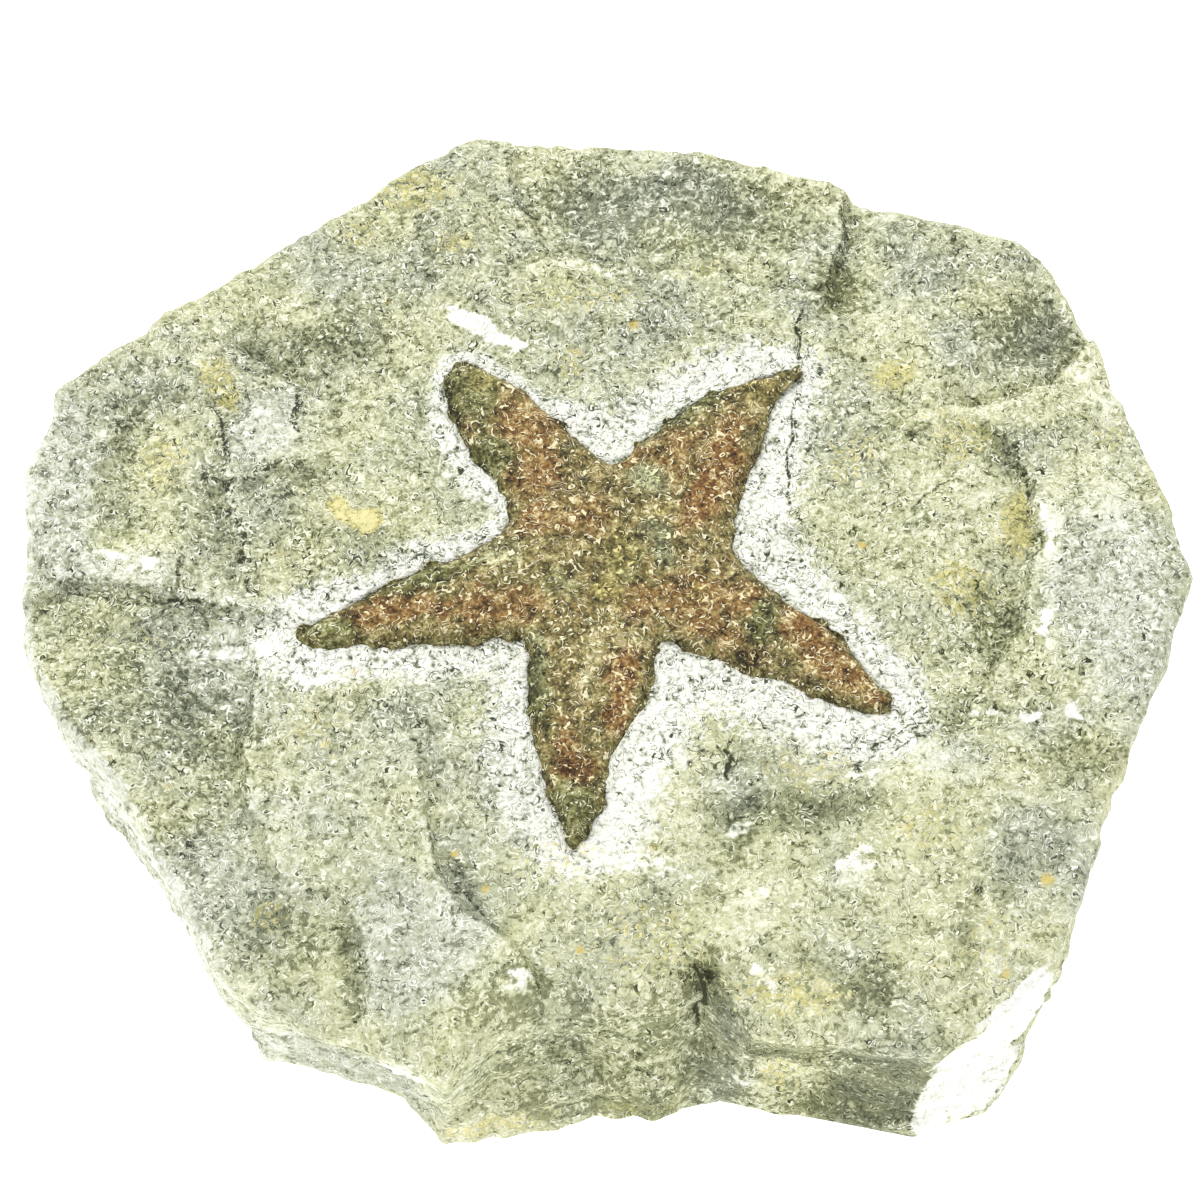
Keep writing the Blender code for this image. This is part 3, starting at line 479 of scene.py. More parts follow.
def smooth(t):
    """0 below 0 and 1 above 1, with an even S between them: 3t^2 - 2t^3."""
    t = np.clip(t, 0.0, 1.0)
    return t * t * (3.0 - 2.0 * t)


def value_noise(u, v, seed, cells=61):
    """Smooth random heights from -1 to 1, one to each unit cell of u and v."""
    table = np.random.default_rng(seed).uniform(-1.0, 1.0, (cells, cells))
    cell_u = np.floor(u).astype(int)
    cell_v = np.floor(v).astype(int)
    a = smooth(u - cell_u)
    b = smooth(v - cell_v)
    near = (table[cell_u % cells, cell_v % cells] * (1.0 - a)
            + table[(cell_u + 1) % cells, cell_v % cells] * a)
    far = (table[cell_u % cells, (cell_v + 1) % cells] * (1.0 - a)
           + table[(cell_u + 1) % cells, (cell_v + 1) % cells] * a)
    return near * (1.0 - b) + far * b


def rough(x, y, size, octaves, seed):
    """Sum of octaves of value_noise, each half the size and 0.55 of the height of the last,
    turned 37 degrees from it so that no grid shows."""
    total = np.zeros(np.shape(x))
    height = 1.0
    for octave in range(octaves):
        turn = 0.65 * (octave + 1)
        u = (x * math.cos(turn) - y * math.sin(turn)) / size
        v = (x * math.sin(turn) + y * math.cos(turn)) / size
        total = total + height * value_noise(u + 40.0, v + 40.0, seed + octave, 257)
        size *= 0.5
        height *= 0.55
    return total


def radius_of(outline, angle):
    """Distance from the origin to a closed outline in each direction: where the ray at that
    angle crosses the side between the two corners next to it."""
    points = np.array(outline)
    order = np.argsort(np.arctan2(points[:, 1], points[:, 0]) % math.tau)
    points = points[order]
    bearing = np.arctan2(points[:, 1], points[:, 0]) % math.tau
    after = np.searchsorted(bearing, angle % math.tau) % len(points)
    p = points[after - 1]
    q = points[after]
    side = q - p
    return ((p[..., 0] * side[..., 1] - p[..., 1] * side[..., 0])
            / (np.cos(angle) * side[..., 1] - np.sin(angle) * side[..., 0]))


def rim_radius(angle):
    """Radius of the upper rim: its plan, worn back by 0.3 mm and ragged by up to 0.6 mm."""
    return radius_of(RIM, angle) - 0.3 + 0.3 * rough(angle * 42.0, angle * 0.0 + 3.0, 2.6, 3, 53)


def beside(x, y, line):
    """Distance to a broken line, its side (+1 on the right), how far along from either end, and
    the unit direction away from the line."""
    distance = np.full(x.shape, FAR)
    side = np.zeros(x.shape)
    run = np.zeros(x.shape)
    away = np.zeros((2,) + x.shape)
    walked = 0.0
    for (ax, ay), (bx, by) in zip(line, line[1:]):
        length = math.hypot(bx - ax, by - ay)
        ux, uy = (bx - ax) / length, (by - ay) / length
        along = np.clip((x - ax) * ux + (y - ay) * uy, 0.0, length)
        off_x = x - ax - along * ux
        off_y = y - ay - along * uy
        here = np.hypot(off_x, off_y)
        nearer = here < distance
        distance = np.where(nearer, here, distance)
        side = np.where(nearer, np.where(uy * off_x - ux * off_y > 0.0, 1.0, -1.0), side)
        run = np.where(nearer, walked + along, run)
        away = np.where(nearer, np.stack([off_x, off_y]), away)
        walked += length
    return distance, side, np.minimum(run, walked - run), away / np.maximum(distance, 1.0e-9)


def ledges(x, y):
    """Drop of every broken step: sudden at its line, then coming back up over its reach."""
    total = np.zeros(x.shape)
    for drop, reach, line in LEDGES:
        distance, side, run, _ = beside(x, y, line)
        low = np.where(side > 0.0, smooth(distance / SCARP) * (1.0 - smooth(distance / reach)), 0.0)
        total -= drop * low * smooth(run / TAPER)
    return total


def in_oval(x, y, cx, cy, across, along, turn=0.0):
    """Place within a turned oval, measured in its own half widths from its middle."""
    c, s = math.cos(math.radians(turn)), math.sin(math.radians(turn))
    return (((x - cx) * c + (y - cy) * s) / across, ((y - cy) * c - (x - cx) * s) / along)


def soft_oval(u, v):
    """1 in the middle of an oval and 0 well outside it: 1 - smooth(r - 0.4), where r is 1 at its
    half widths."""
    return 1.0 - smooth(np.hypot(u, v) - 0.4)


def lumps(x, y):
    """Bell-shaped rises and hollows: height * exp(-u^2 - v^2)."""
    total = np.zeros(x.shape)
    for height, *oval in LUMPS:
        u, v = in_oval(x, y, *oval)
        total += height * np.exp(-u * u - v * v)
    return total


def cracks(x, y):
    """Narrow V-shaped openings, a third as wide and half as deep as the solid's."""
    total = np.zeros(x.shape)
    for depth, half_width, line in CRACKS:
        distance, _, run, _ = beside(x, y, line)
        total -= 0.45 * depth * (1.0 - smooth(distance / (0.35 * half_width))) * smooth(run / TAPER)
    return total


def patches(x, y, table):
    """Sum of a table of soft-edged ovals, each times its amount."""
    total = np.zeros(x.shape)
    for amount, *oval in table:
        total += amount * soft_oval(*in_oval(x, y, *oval))
    return total


def wall_patches(x, y, z, table):
    """The same on the wall: (amount, x, y, z, half width, half height), upright ovals over the
    distance across the wall and the height."""
    total = np.zeros(x.shape)
    for amount, cx, cy, cz, across, high in table:
        total += amount * soft_oval(np.hypot(x - cx, y - cy) / across, (z - cz) / high)
    return total


def margin_outline(samples):
    """The starfish margin as a closed Catmull-Rom curve through its points."""
    p1 = np.array(MARGIN)
    p0, p2, p3 = np.roll(p1, 1, 0), np.roll(p1, -1, 0), np.roll(p1, -2, 0)
    spans = []
    for step in range(samples):
        t = step / samples
        spans.append(0.5 * (2.0 * p1 + (p2 - p0) * t + (2.0 * p0 - 5.0 * p1 + 4.0 * p2 - p3) * t**2
                            + (3.0 * p1 - p0 - 3.0 * p2 + p3) * t**3))
    return np.stack(spans, 1).reshape(-1, 2)


def band_width(x, y):
    """Width of the bruised band near each point: the mean of BAND, weighed by 1 / distance^4 to
    the margin's points."""
    total = np.zeros(x.shape)
    weights = np.zeros(x.shape)
    for (px, py), width in zip(MARGIN, BAND):
        weight = 1.0 / ((x - px) ** 2 + (y - py) ** 2 + 0.5) ** 2
        total += weight * width
        weights += weight
    return total / weights


def dark_lines(x, y):
    """Side and strength of the nearest dark line: how many half widths the point lies to one side
    of it, and how dark it is, fading towards its ends and well off it."""
    lines = [*LINES]
    lines += [(0.7, 0.12, line) for _, _, line in CRACKS]
    # Every step's line gets painted shade, darker for a deeper drop.
    lines += [(0.2 * min(drop, 1.3), 0.12, line) for drop, _, line in LEDGES]
    nearest = np.full(x.shape, 4.0)
    off = np.full(x.shape, 4.0)
    dark = np.zeros(x.shape)
    for strength, half_width, line in lines:
        distance, side, run, _ = beside(x, y, line)
        here = distance / half_width
        nearer = here < nearest
        nearest = np.where(nearer, here, nearest)
        off = np.where(nearer, side * here, off)
        dark = np.where(nearer, strength * smooth(run / 1.2), dark)
    return off, dark * (1.0 - smooth(nearest - 2.8))


def step_wear_highlight_and_shade(x, y):
    """Tone of each broken step at a distance d: 0.35 exp(-(d / 0.7)^2) along its brow, pale with
    wear and a painted highlight, and -0.35 exp(-((d - 0.6) / 0.9)^2) at its foot, painted shade."""
    total = np.zeros(x.shape)
    for drop, _, line in LEDGES:
        distance, side, run, _ = beside(x, y, line)
        brow = 0.35 * np.exp(-((distance / 0.7) ** 2))
        foot = -0.35 * np.exp(-(((distance - 0.6) / 0.9) ** 2))
        total += min(drop, 1.2) * np.where(side > 0.0, foot, brow) * smooth(run / TAPER)
    return total


def grown(outline, distance):
    """A closed anticlockwise outline moved outwards along its own normals."""
    tangent = np.roll(outline, -1, 0) - np.roll(outline, 1, 0)
    normal = np.stack([tangent[:, 1], -tangent[:, 0]], 1)
    normal = normal / np.linalg.norm(normal, axis=1, keepdims=True)
    return outline + np.reshape(distance, (-1, 1)) * normal


def crumbled_outline(samples):
    """The margin with its crumbled edge: moved in and out by up to 0.6 mm."""
    outline = margin_outline(samples)
    wander = 0.32 * rough(outline[:, 0], outline[:, 1], 1.1, 3, 61)
    return grown(outline, wander)


def closed(outline):
    """The outline's points with the first one once more at the end."""
    return [tuple(point) for point in np.vstack([outline, outline[:1]])]


def upper_face(x, y, from_margin):
    """Height of the stone's upper face: the bedding plane, tilted down towards the back, with its
    steps, lumps, cracks, tooled band and a soft grain."""
    tilt = -0.022 * np.clip(y - 24.0, 0.0, None) ** 1.45
    tooled = -TRENCH_DEPTH * (1.0 - smooth((from_margin - 1.2) / TRENCH_WIDTH))
    grain = 0.32 * value_noise(x / 7.0 + 20.0, y / 7.0 + 20.0, 3)
    grain += 0.22 * value_noise(x / 2.6 + 30.0, y / 2.6 + 30.0, 4)
    return THICKNESS + tilt + ledges(x, y) + lumps(x, y) + cracks(x, y) + tooled + grain


def flakes(x, y, size, step, seed):
    """Thin broken layers: a rough height cut into steps, with each riser over a fifth of it."""
    level = 3.0 * rough(x, y, size, 3, seed)
    whole = np.floor(level)
    return step * (whole + smooth((level - whole - 0.8) / 0.2))


def joint_height(angle, level):
    """Height of a bedding joint round the wall: it wanders by up to 0.8 mm."""
    return level + 0.8 * value_noise(angle * 3.0, angle * 0.0 + level, 7)


def share_of(angle, middle, reach):
    """How far a bearing lies within a stretch of the wall: exp(-((bearing - middle) / reach)^2)."""
    return np.exp(-(((np.degrees(angle) % 360.0 - middle) / reach) ** 2))


def brow_width(angle):
    """Width of the worn edge: widest at the front, where the face rolls over into the wall."""
    return BROW + 1.6 * share_of(angle, *ROLLED_BROW)


def wall_radius(angle, height, top):
    """Radius of the wall: from the foot's plan to the rim's, both with a ragged edge, hollowed
    under the brow, with grooves along the bedding and rough breaks between them."""
    share = smooth(height / top)
    foot = radius_of(FOOT, angle) - 0.5 + 0.6 * rough(angle * 40.0, angle * 0.0, 4.0, 3, 57)
    radius = foot * (1.0 - share) + rim_radius(angle) * share
    fade = np.sin(math.pi * np.clip(height / top, 0.0, 1.0))
    radius -= 1.5 * share_of(angle, *OVERHANG) * fade
    for level, depth, half_width in BEDDING:
        groove = np.exp(-((height - joint_height(angle, level)) / half_width) ** 2)
        radius -= depth * (1.0 - 0.6 * share_of(angle, *FRONT)) * groove
    return radius + 0.45 * fade * rough(angle * 45.0, height + 9.0, 3.4, 4, 5)


def arm_axes(x, y):
    """How far out along the nearest arm, and how far to the side of its middle line."""
    cx, cy = FOSSIL_CENTRE
    out = np.full(x.shape, -FAR)
    side = np.zeros(x.shape)
    for tip_x, tip_y in ARM_TIPS:
        reach = math.hypot(tip_x - cx, tip_y - cy)
        ux, uy = (tip_x - cx) / reach, (tip_y - cy) / reach
        here = (x - cx) * ux + (y - cy) * uy
        nearer = here > out
        out = np.where(nearer, here, out)
        side = np.where(nearer, (y - cy) * ux - (x - cx) * uy, side)
    return out, side


def fossil_top(x, y):
    """Height of the crust: crowned arms with two rows of small plates beside a middle furrow,
    a flaky, grainy skin on them and a low, rounded edge."""
    inwards = beside(x, y, closed(margin_outline(2)))[0]
    crown = FOSSIL_CROWN * (1.0 - np.exp(-inwards / 1.1))
    out, side = arm_axes(x, y)
    rows = np.exp(-((np.abs(side) - 1.5) / 0.8) ** 2)
    plates = 0.6 * OSSICLE_HEIGHT * rows * np.cos(math.tau * out / OSSICLE_SPACING)
    furrow = -0.18 * np.exp(-((side / 0.7) ** 2)) * smooth((out - 3.0) / 3.0)
    grain = 0.16 * value_noise(x / 1.9 + 30.0, y / 1.9 + 30.0, 6)
    inside = smooth(inwards / 0.9)
    skin = flakes(x, y, 4.0, 0.07, 71) + 0.1 * rough(x, y, 0.9, 2, 75)
    edge = 0.42 * (1.0 - smooth(inwards / 0.7))
    return (THICKNESS + FOSSIL_EDGE + crown + (plates + furrow + grain) * inside
            + skin * (0.3 + 0.7 * inside) - edge)


# ---------------------------------------------------------------- meshes

def square_in_disc(cells):
    """A square grid pressed into the unit disc: (X sqrt(1 - Y^2/2), Y sqrt(1 - X^2/2))."""
    line = np.linspace(-1.0, 1.0, cells + 1)
    u, v = np.meshgrid(line, line, indexing="ij")
    return u * np.sqrt(1.0 - v * v / 2.0), v * np.sqrt(1.0 - u * u / 2.0)


def square_rim(cells):
    """Indices of the grid's outer points, anticlockwise from its lower right corner."""
    step = np.arange(cells)
    wide = cells + 1
    return np.concatenate([cells * wide + step, (cells - step) * wide + cells, cells - step,
                           step * wide])


def ringed(inside):
    """The grid points just outside and just inside an area: those with one of their eight
    neighbours across its edge."""
    padded = np.pad(inside, 1, mode="edge")
    high, wide = inside.shape
    shifted = [padded[i:i + high, j:j + wide] for i in range(3) for j in range(3)]
    return ~inside & np.any(shifted, 0), inside & ~np.all(shifted, 0)


def band(lower, upper):
    """Quads between two closed loops of point numbers, facing out where lower is below."""
    return np.stack([lower, np.roll(lower, -1), np.roll(upper, -1), upper], 1)


def to_mesh(name, points, quads, fan, masks, finish):
    """A mesh object from points in mm, quads and triangles, with a value at each point for each
    mask. Points stay inside the part's box."""
    low, high = np.array(CAD_BOX[0]), np.array(CAD_BOX[1])
    place = np.clip(points * MM, low, high)
    mesh = bpy.data.meshes.new(name)
    corners = np.concatenate([quads.ravel(), fan.ravel()]).astype(np.int32)
    starts = np.concatenate([np.arange(len(quads)) * 4,
                             len(quads) * 4 + np.arange(len(fan)) * 3]).astype(np.int32)
    mesh.vertices.add(len(place))
    mesh.vertices.foreach_set("co", place.astype(np.float32).ravel())
    mesh.loops.add(len(corners))
    mesh.loops.foreach_set("vertex_index", corners)
    mesh.polygons.add(len(starts))
    mesh.polygons.foreach_set("loop_start", starts)
    mesh.update(calc_edges=True)
    mesh.validate()
    mesh.shade_smooth()
    for label, values in masks.items():
        layer = mesh.attributes.new(label, "FLOAT", "POINT")
        layer.data.foreach_set("value", values.astype(np.float32))
    mesh.materials.append(finish)
    piece = bpy.data.objects.new(name, mesh)
    bpy.context.scene.collection.objects.link(piece)
    return piece


def slab_surface(cells, wall_rows):
    """Points, quads, fan and masks of the slab. Its upper face is a square grid pressed into the
    rim, its wall and underside are loops that carry on from the grid's own edge."""
    a, b = square_in_disc(cells)
    angle = np.arctan2(b, a)
    reach = np.hypot(a, b) * (rim_radius(angle) - brow_width(angle))
    x, y = reach * np.cos(angle), reach * np.sin(angle)

    # The grid's points on either side of the bed's edge are drawn to it, so that its wall is sheer.
    bed = closed(grown(crumbled_outline(BED_SAMPLES), BED_CLEARANCE))
    (left, right), (front, back) = STARFISH_BOX
    near = (x > left) & (x < right) & (y > front) & (y < back)
    distance, side = np.full(x.shape, FAR), np.ones(x.shape)
    away = np.zeros((2,) + x.shape)
    distance[near], side[near], _, away[:, near] = beside(x[near], y[near], bed)
    in_bed = side < 0.0
    outer, inner = ringed(in_bed)
    push = np.where(outer, BED_CLEARANCE - distance,
                    np.where(inner, BED_BATTER - distance, 0.0))
    x, y = x + push * away[0], y + push * away[1]

    top, top_masks = stone_top(x, y)
    top = np.where(in_bed, THICKNESS - FOSSIL_DEPTH - GAP, top)
    points = [np.column_stack([x.ravel(), y.ravel(), top.ravel()])]
    masks = {label: [values.ravel()] for label, values in top_masks.items()}

    row = np.arange(cells)
    wide = cells + 1
    corner = (row[:, None] * wide + row[None, :]).ravel()
    quads = [np.stack([corner, corner + wide, corner + wide + 1, corner + 1], 1)]

    loop = square_rim(cells)
    bearing = angle.ravel()[loop]
    rim = rim_radius(bearing)
    brow = brow_width(bearing)
    rim_height = stone_top(rim * np.cos(bearing), rim * np.sin(bearing))[0] - brow
    rings = []
    for lean in np.radians(BROW_LEANS):
        radius = rim - brow + brow * math.cos(lean)
        level = stone_top(radius * np.cos(bearing), radius * np.sin(bearing))[0]
        rings.append((radius, level - brow * (1.0 - math.sin(lean))))
    for step in range(wall_rows + 1):
        share = 1.0 - step / wall_rows
        level = FOOT_CHAMFER + (rim_height - FOOT_CHAMFER) * share
        breaks = flakes(bearing * 40.0, 1.2 * level, 6.0, 0.2, 97) - 0.2
        breaks += 0.25 * rough(bearing * 40.0, level, 1.6, 3, 91)
        radius = wall_radius(bearing, level, rim_height) + math.sin(math.pi * share) * breaks
        rings.append((radius, level))
    foot = radius_of(FOOT, bearing) - FOOT_CHAMFER
    rings.append((foot, np.zeros(len(bearing))))
    for step in range(1, UNDERSIDE_ROWS):
        radius = foot * (1.0 - step / UNDERSIDE_ROWS)
        hollow = 0.35 * rough(radius * np.cos(bearing), radius * np.sin(bearing), 9.0, 3, 33)
        rings.append((radius, np.clip(hollow, 0.0, None) * smooth(step / 2.0)))

    above = loop
    count = len(points[0])
    for radius, level in rings:
        ring_x, ring_y = radius * np.cos(bearing), radius * np.sin(bearing)
        points.append(np.column_stack([ring_x, ring_y, level]))
        for label, values in wall_masks(bearing, ring_x, ring_y, level).items():
            masks[label].append(values)
        ring = count + np.arange(len(loop))
        quads.append(band(ring, above))
        above = ring
        count += len(loop)
    points.append(np.zeros((1, 3)))
    for values in masks.values():
        values.append(np.zeros(1))
    fan = np.stack([above, np.full(len(above), count), np.roll(above, -1)], 1)
    return (np.vstack(points), np.vstack(quads), fan,
            {label: np.concatenate(values) for label, values in masks.items()})


def stone_top(x, y):
    """Height of the finished upper face and its masks. The break lines wander by up to 0.8 mm,
    thin flakes step it, and a burr of bruised stone stands round the starfish."""
    wander_x = x + 0.45 * rough(x, y, 2.4, 3, 11)
    wander_y = y + 0.45 * rough(x, y, 2.4, 3, 15)
    from_margin = beside(x, y, closed(margin_outline(2)))[0]
    bruise = from_margin / band_width(x, y)
    pit = patches(x, y, PITS)
    calm = smooth(bruise - 0.3)
    height = upper_face(wander_x, wander_y, from_margin)
    height += (0.25 + 0.75 * calm) * flakes(x, y, 9.0, 0.2, 25)
    height += 0.08 * rough(x, y, 0.9, 2, 29) + 0.07 * (1.0 - calm) * rough(x, y, 1.1, 2, 31)
    height += 0.12 * np.exp(-((from_margin / 0.8) ** 2)) - 0.35 * pit
    off, dark = dark_lines(wander_x, wander_y)
    masks = {label: patches(wander_x, wander_y, table) for label, table in (
        ("tone", TONE), ("patina", PATINA), ("cool", COOL), ("warm", WARM), ("chip", CHIPS))}
    # Each step gets a painted highlight along its brow and painted shade at its foot.
    masks["tone"] += step_wear_highlight_and_shade(wander_x, wander_y)
    masks["ochre"] = patches(x, y, OCHRE)
    masks["cloud"] = rough(x, y, 5.0, 4, 35)
    masks["pit"] = pit
    masks["worn"] = 0.6 * smooth((-10.0 - y) / 14.0) * smooth((x + 36.0) / 14.0)
    masks["bruise"] = np.clip(bruise, 0.0, 3.0)
    masks["line_off"] = off
    masks["line_dark"] = dark
    return height, masks


def wall_masks(bearing, x, y, level):
    """Masks of the wall and underside: its own patches, those of the upper face near the rim, and
    dark lines along the bedding joints and down the open crack."""
    upper = smooth((level - 14.0) / 3.0)
    masks = {label: upper * patches(x, y, above) + wall_patches(x, y, level, beside_it)
             for label, above, beside_it in (
                 ("tone", TONE, WALL_TONE), ("patina", PATINA, WALL_PATINA),
                 ("cool", COOL, WALL_COOL), ("warm", WARM, WALL_WARM),
                 ("chip", CHIPS, WALL_CHIPS))}
    # The coat has flaked off in islands.
    masks["patina"] *= 1.0 + 1.2 * rough(x, 1.5 * level, 3.0, 3, 41)
    front = share_of(bearing, *FRONT)
    off = np.full(x.shape, 9.0)
    parted = np.zeros(x.shape)
    for joint, _, _ in BEDDING:
        here = (level - joint_height(bearing, joint)) / 0.16
        nearer = np.abs(here) < np.abs(off)
        off = np.where(nearer, here, off)
        open_here = value_noise(bearing * 9.0, bearing * 0.0 + 1.7 * joint, 13)
        parted = np.where(nearer, smooth(0.6 + 1.5 * open_here), parted)
    dark = 0.5 * (1.0 - front) * parted * (1.0 - smooth((np.abs(off) - 5.0) / 4.0))
    strength, middle, half_width, low, high = CLEFT
    across = (x - middle - 0.5 * value_noise(0.7 * level, level * 0.0, 17)) / half_width
    cleft = (y < 0.0) & (np.abs(across) < 4.0)
    off = np.where(cleft, across, off)
    dark = np.where(cleft, strength * smooth((level - low) / 3.0) * smooth(high - level), dark)
    # The wall is streaked along its bedding.
    streaked = 0.7 * rough(bearing * 9.0, level * 1.6, 2.0, 4, 37)
    plain = np.maximum(upper, front)
    masks["cloud"] = plain * rough(x, y, 5.0, 4, 35) + (1.0 - plain) * streaked
    masks["ochre"] = np.zeros(x.shape)
    masks["pit"] = np.zeros(x.shape)
    masks["worn"] = 0.95 - 0.8 * front
    masks["bruise"] = np.full(x.shape, 3.0)
    masks["line_off"] = off
    masks["line_dark"] = dark
    return masks


def starfish_surface(rows):
    """Points, quads, fan and masks of the crust: loops from its flat underside up the crumbled
    margin, then shrinking towards the disc's centre."""
    centre = np.array(FOSSIL_CENTRE)
    margin = crumbled_outline(MARGIN_SAMPLES)
    under = THICKNESS - FOSSIL_DEPTH
    sides = len(margin)
    level = np.ones(sides)
    edge = fossil_top(margin[:, 0], margin[:, 1])
    rings = [
        np.column_stack([grown(margin, -0.2), under * level]),
        np.column_stack([margin, (under + 0.3) * level]),
        np.column_stack([margin, 0.5 * (under + 0.3 + edge - 0.1)]),
        np.column_stack([margin, edge - 0.1]),
    ]
    for row in range(rows):
        share = (1.0 - row / rows) * (1.0 - 0.006 * (row == 0))
        ring = centre + (margin - centre) * share
        rings.append(np.column_stack([ring, fossil_top(ring[:, 0], ring[:, 1])]))
    points = np.vstack(rings + [[[*centre, fossil_top(centre[:1], centre[1:])[0]]],
                                [[*centre, under]]])
    first = np.arange(sides)
    quads = [band(first + k * sides, first + (k + 1) * sides) for k in range(len(rings) - 1)]
    last = first + (len(rings) - 1) * sides
    tip = len(rings) * sides
    fan = np.vstack([
        np.stack([last, np.roll(last, -1), np.full(sides, tip)], 1),
        np.stack([np.roll(first, -1), first, np.full(sides, tip + 1)], 1),
    ])
    x, y = points[:, 0], points[:, 1]
    wander_x = x + 0.6 * rough(x, y, 1.8, 3, 81)
    wander_y = y + 0.6 * rough(x, y, 1.8, 3, 85)
    masks = {label: patches(wander_x, wander_y, table) for label, table in (
        ("rust", RUST), ("olive", OLIVE), ("cream", CREAM), ("verdigris", VERDIGRIS),
        ("sulphur", SULPHUR), ("shade", SHADE))}
    masks["inwards"] = beside(x, y, closed(margin_outline(2)))[0]
    return points, np.vstack(quads), fan, masks


# ---------------------------------------------------------------- materials

def linear(colour):
    """An sRGB hex value as a linear RGBA tuple."""
    parts = [int(colour[i:i + 2], 16) / 255.0 for i in (1, 3, 5)]
    return (*[c / 12.92 if c <= 0.04045 else ((c + 0.055) / 1.055) ** 2.4 for c in parts], 1.0)


def add_node(tree, kind, settings=None, links=None, stops=None, output=0):
    """Adds a node, sets its properties, and gives each named input a value or another node's
    output. Stops are the colours of a ramp. Returns the wanted output, if it has one."""
    node = tree.nodes.new("ShaderNode" + kind)
    for name, value in (settings or {}).items():
        setattr(node, name, value)
    for key, value in (links or {}).items():
        if isinstance(value, bpy.types.NodeSocket):
            tree.links.new(value, node.inputs[key])
        else:
            node.inputs[key].default_value = value
    if stops:
        ramp = node.color_ramp
        while len(ramp.elements) < len(stops):
            ramp.elements.new(1.0)
        for element, (position, colour) in zip(ramp.elements, stops):
            element.position = position
            element.color = linear(colour)
    return None if output is None else node.outputs[output]


def new_material(name):
    """A material without nodes, and its node tree."""
    made = bpy.data.materials.new(name)
    made.use_nodes = True
    made.node_tree.nodes.clear()
    return made, made.node_tree


def weighed_sum(tree, start, terms):
    """Adds amount * (value - middle) of each term to a start, in Math nodes."""
    total = start
    for value, amount, middle in terms:
        if middle:
            value = add_node(tree, "Math", {"operation": "SUBTRACT"}, {0: value, 1: middle})
        total = add_node(tree, "Math", {"operation": "MULTIPLY_ADD"},
                         {0: value, 1: amount, 2: total})
    return total


def threshold(tree, start, terms, low, high, below=0.0, above=1.0):
    """Soft step of a weighed sum: below where the sum is low, above where it is high."""
    return add_node(tree, "MapRange", {"interpolation_type": "SMOOTHSTEP"}, {
        0: weighed_sum(tree, start, terms), 1: low, 2: high, 3: below, 4: above})


def textures(tree, labels, noises, bends_per_mm):
    """What a finish is made of: the place in mm, the same place bent by up to 0.8 mm, the mesh's
    masks and the noises."""
    at = add_node(tree, "TexCoord", output=3)
    place = add_node(tree, "VectorMath", {"operation": "SCALE"}, {0: at, "Scale": PER_MM})
    mask = {name: add_node(tree, "Attribute", {"attribute_name": name}, output=2)
            for name in labels}
    noise = {name: add_node(tree, "TexNoise", None, {
        "Vector": place, "Scale": scale, "Detail": detail, "Roughness": 0.6})
        for name, scale, detail in noises}
    bend = add_node(tree, "TexNoise", None,
                    {"Vector": place, "Scale": bends_per_mm, "Detail": 0.0}, output=1)
    bend = add_node(tree, "VectorMath", {"operation": "MULTIPLY_ADD"},
                    {0: bend, 1: (1.6, 1.6, 1.6), 2: place})
    return place, bend, mask, noise


def broken_edges(tree, place, scale, spacing):
    """Curved edges where a noise passes each of its evenly spaced values: a pale stroke on one
    side of each edge and a thinner dark one on the other."""
    edge = add_node(tree, "TexNoise", None, {"Vector": place, "Scale": scale, "Detail": 1.0})
    edge = add_node(tree, "Math", {"operation": "DIVIDE"}, {0: edge, 1: spacing})
    edge = add_node(tree, "Math", {"operation": "FRACT"}, {0: edge})
    return threshold(tree, edge, (), 0.12, 0.34, 1.0, 0.0), threshold(tree, edge, (), 0.8, 0.96)


def gated(tree, stroke, *gate):
    """A stroke only where a weighed sum is above its threshold."""
    return add_node(tree, "Math", {"operation": "MULTIPLY"},
                    {0: stroke, 1: threshold(tree, *gate)})


def evenly_spaced(colours):
    """Stops of a ramp: colour k of n lies at k / (n - 1), counted from 0."""
    return [(step / (len(colours) - 1), colour) for step, colour in enumerate(colours)]


def stained(tree, colour, stains):
    """Lays stains over a colour. Each is a mask, the terms that break up its edge, the threshold
    that turns their sum into an amount, the most that it covers, a blend mode and a tint."""
    for mask, terms, low, high, most, blend, tint in stains:
        amount = threshold(tree, mask, terms, low, high, 0.0, most)
        colour = add_node(tree, "Mix", {"data_type": "RGBA", "blend_type": blend},
                          {0: amount, 6: colour, 7: tint}, output=2)
    return colour


def gritty_surface(tree, colour, height, grit, finish):
    """A dull surface with a fine relief. The relief reads few textures, because it reads each of
    them three times."""
    bump = add_node(tree, "Bump", None, {"Strength": 0.9, "Distance": grit, "Height": height})
    surface = add_node(tree, "BsdfPrincipled", None,
                       {"Base Color": colour, "Normal": bump, **finish})
    add_node(tree, "OutputMaterial", None, {"Surface": surface}, output=None)


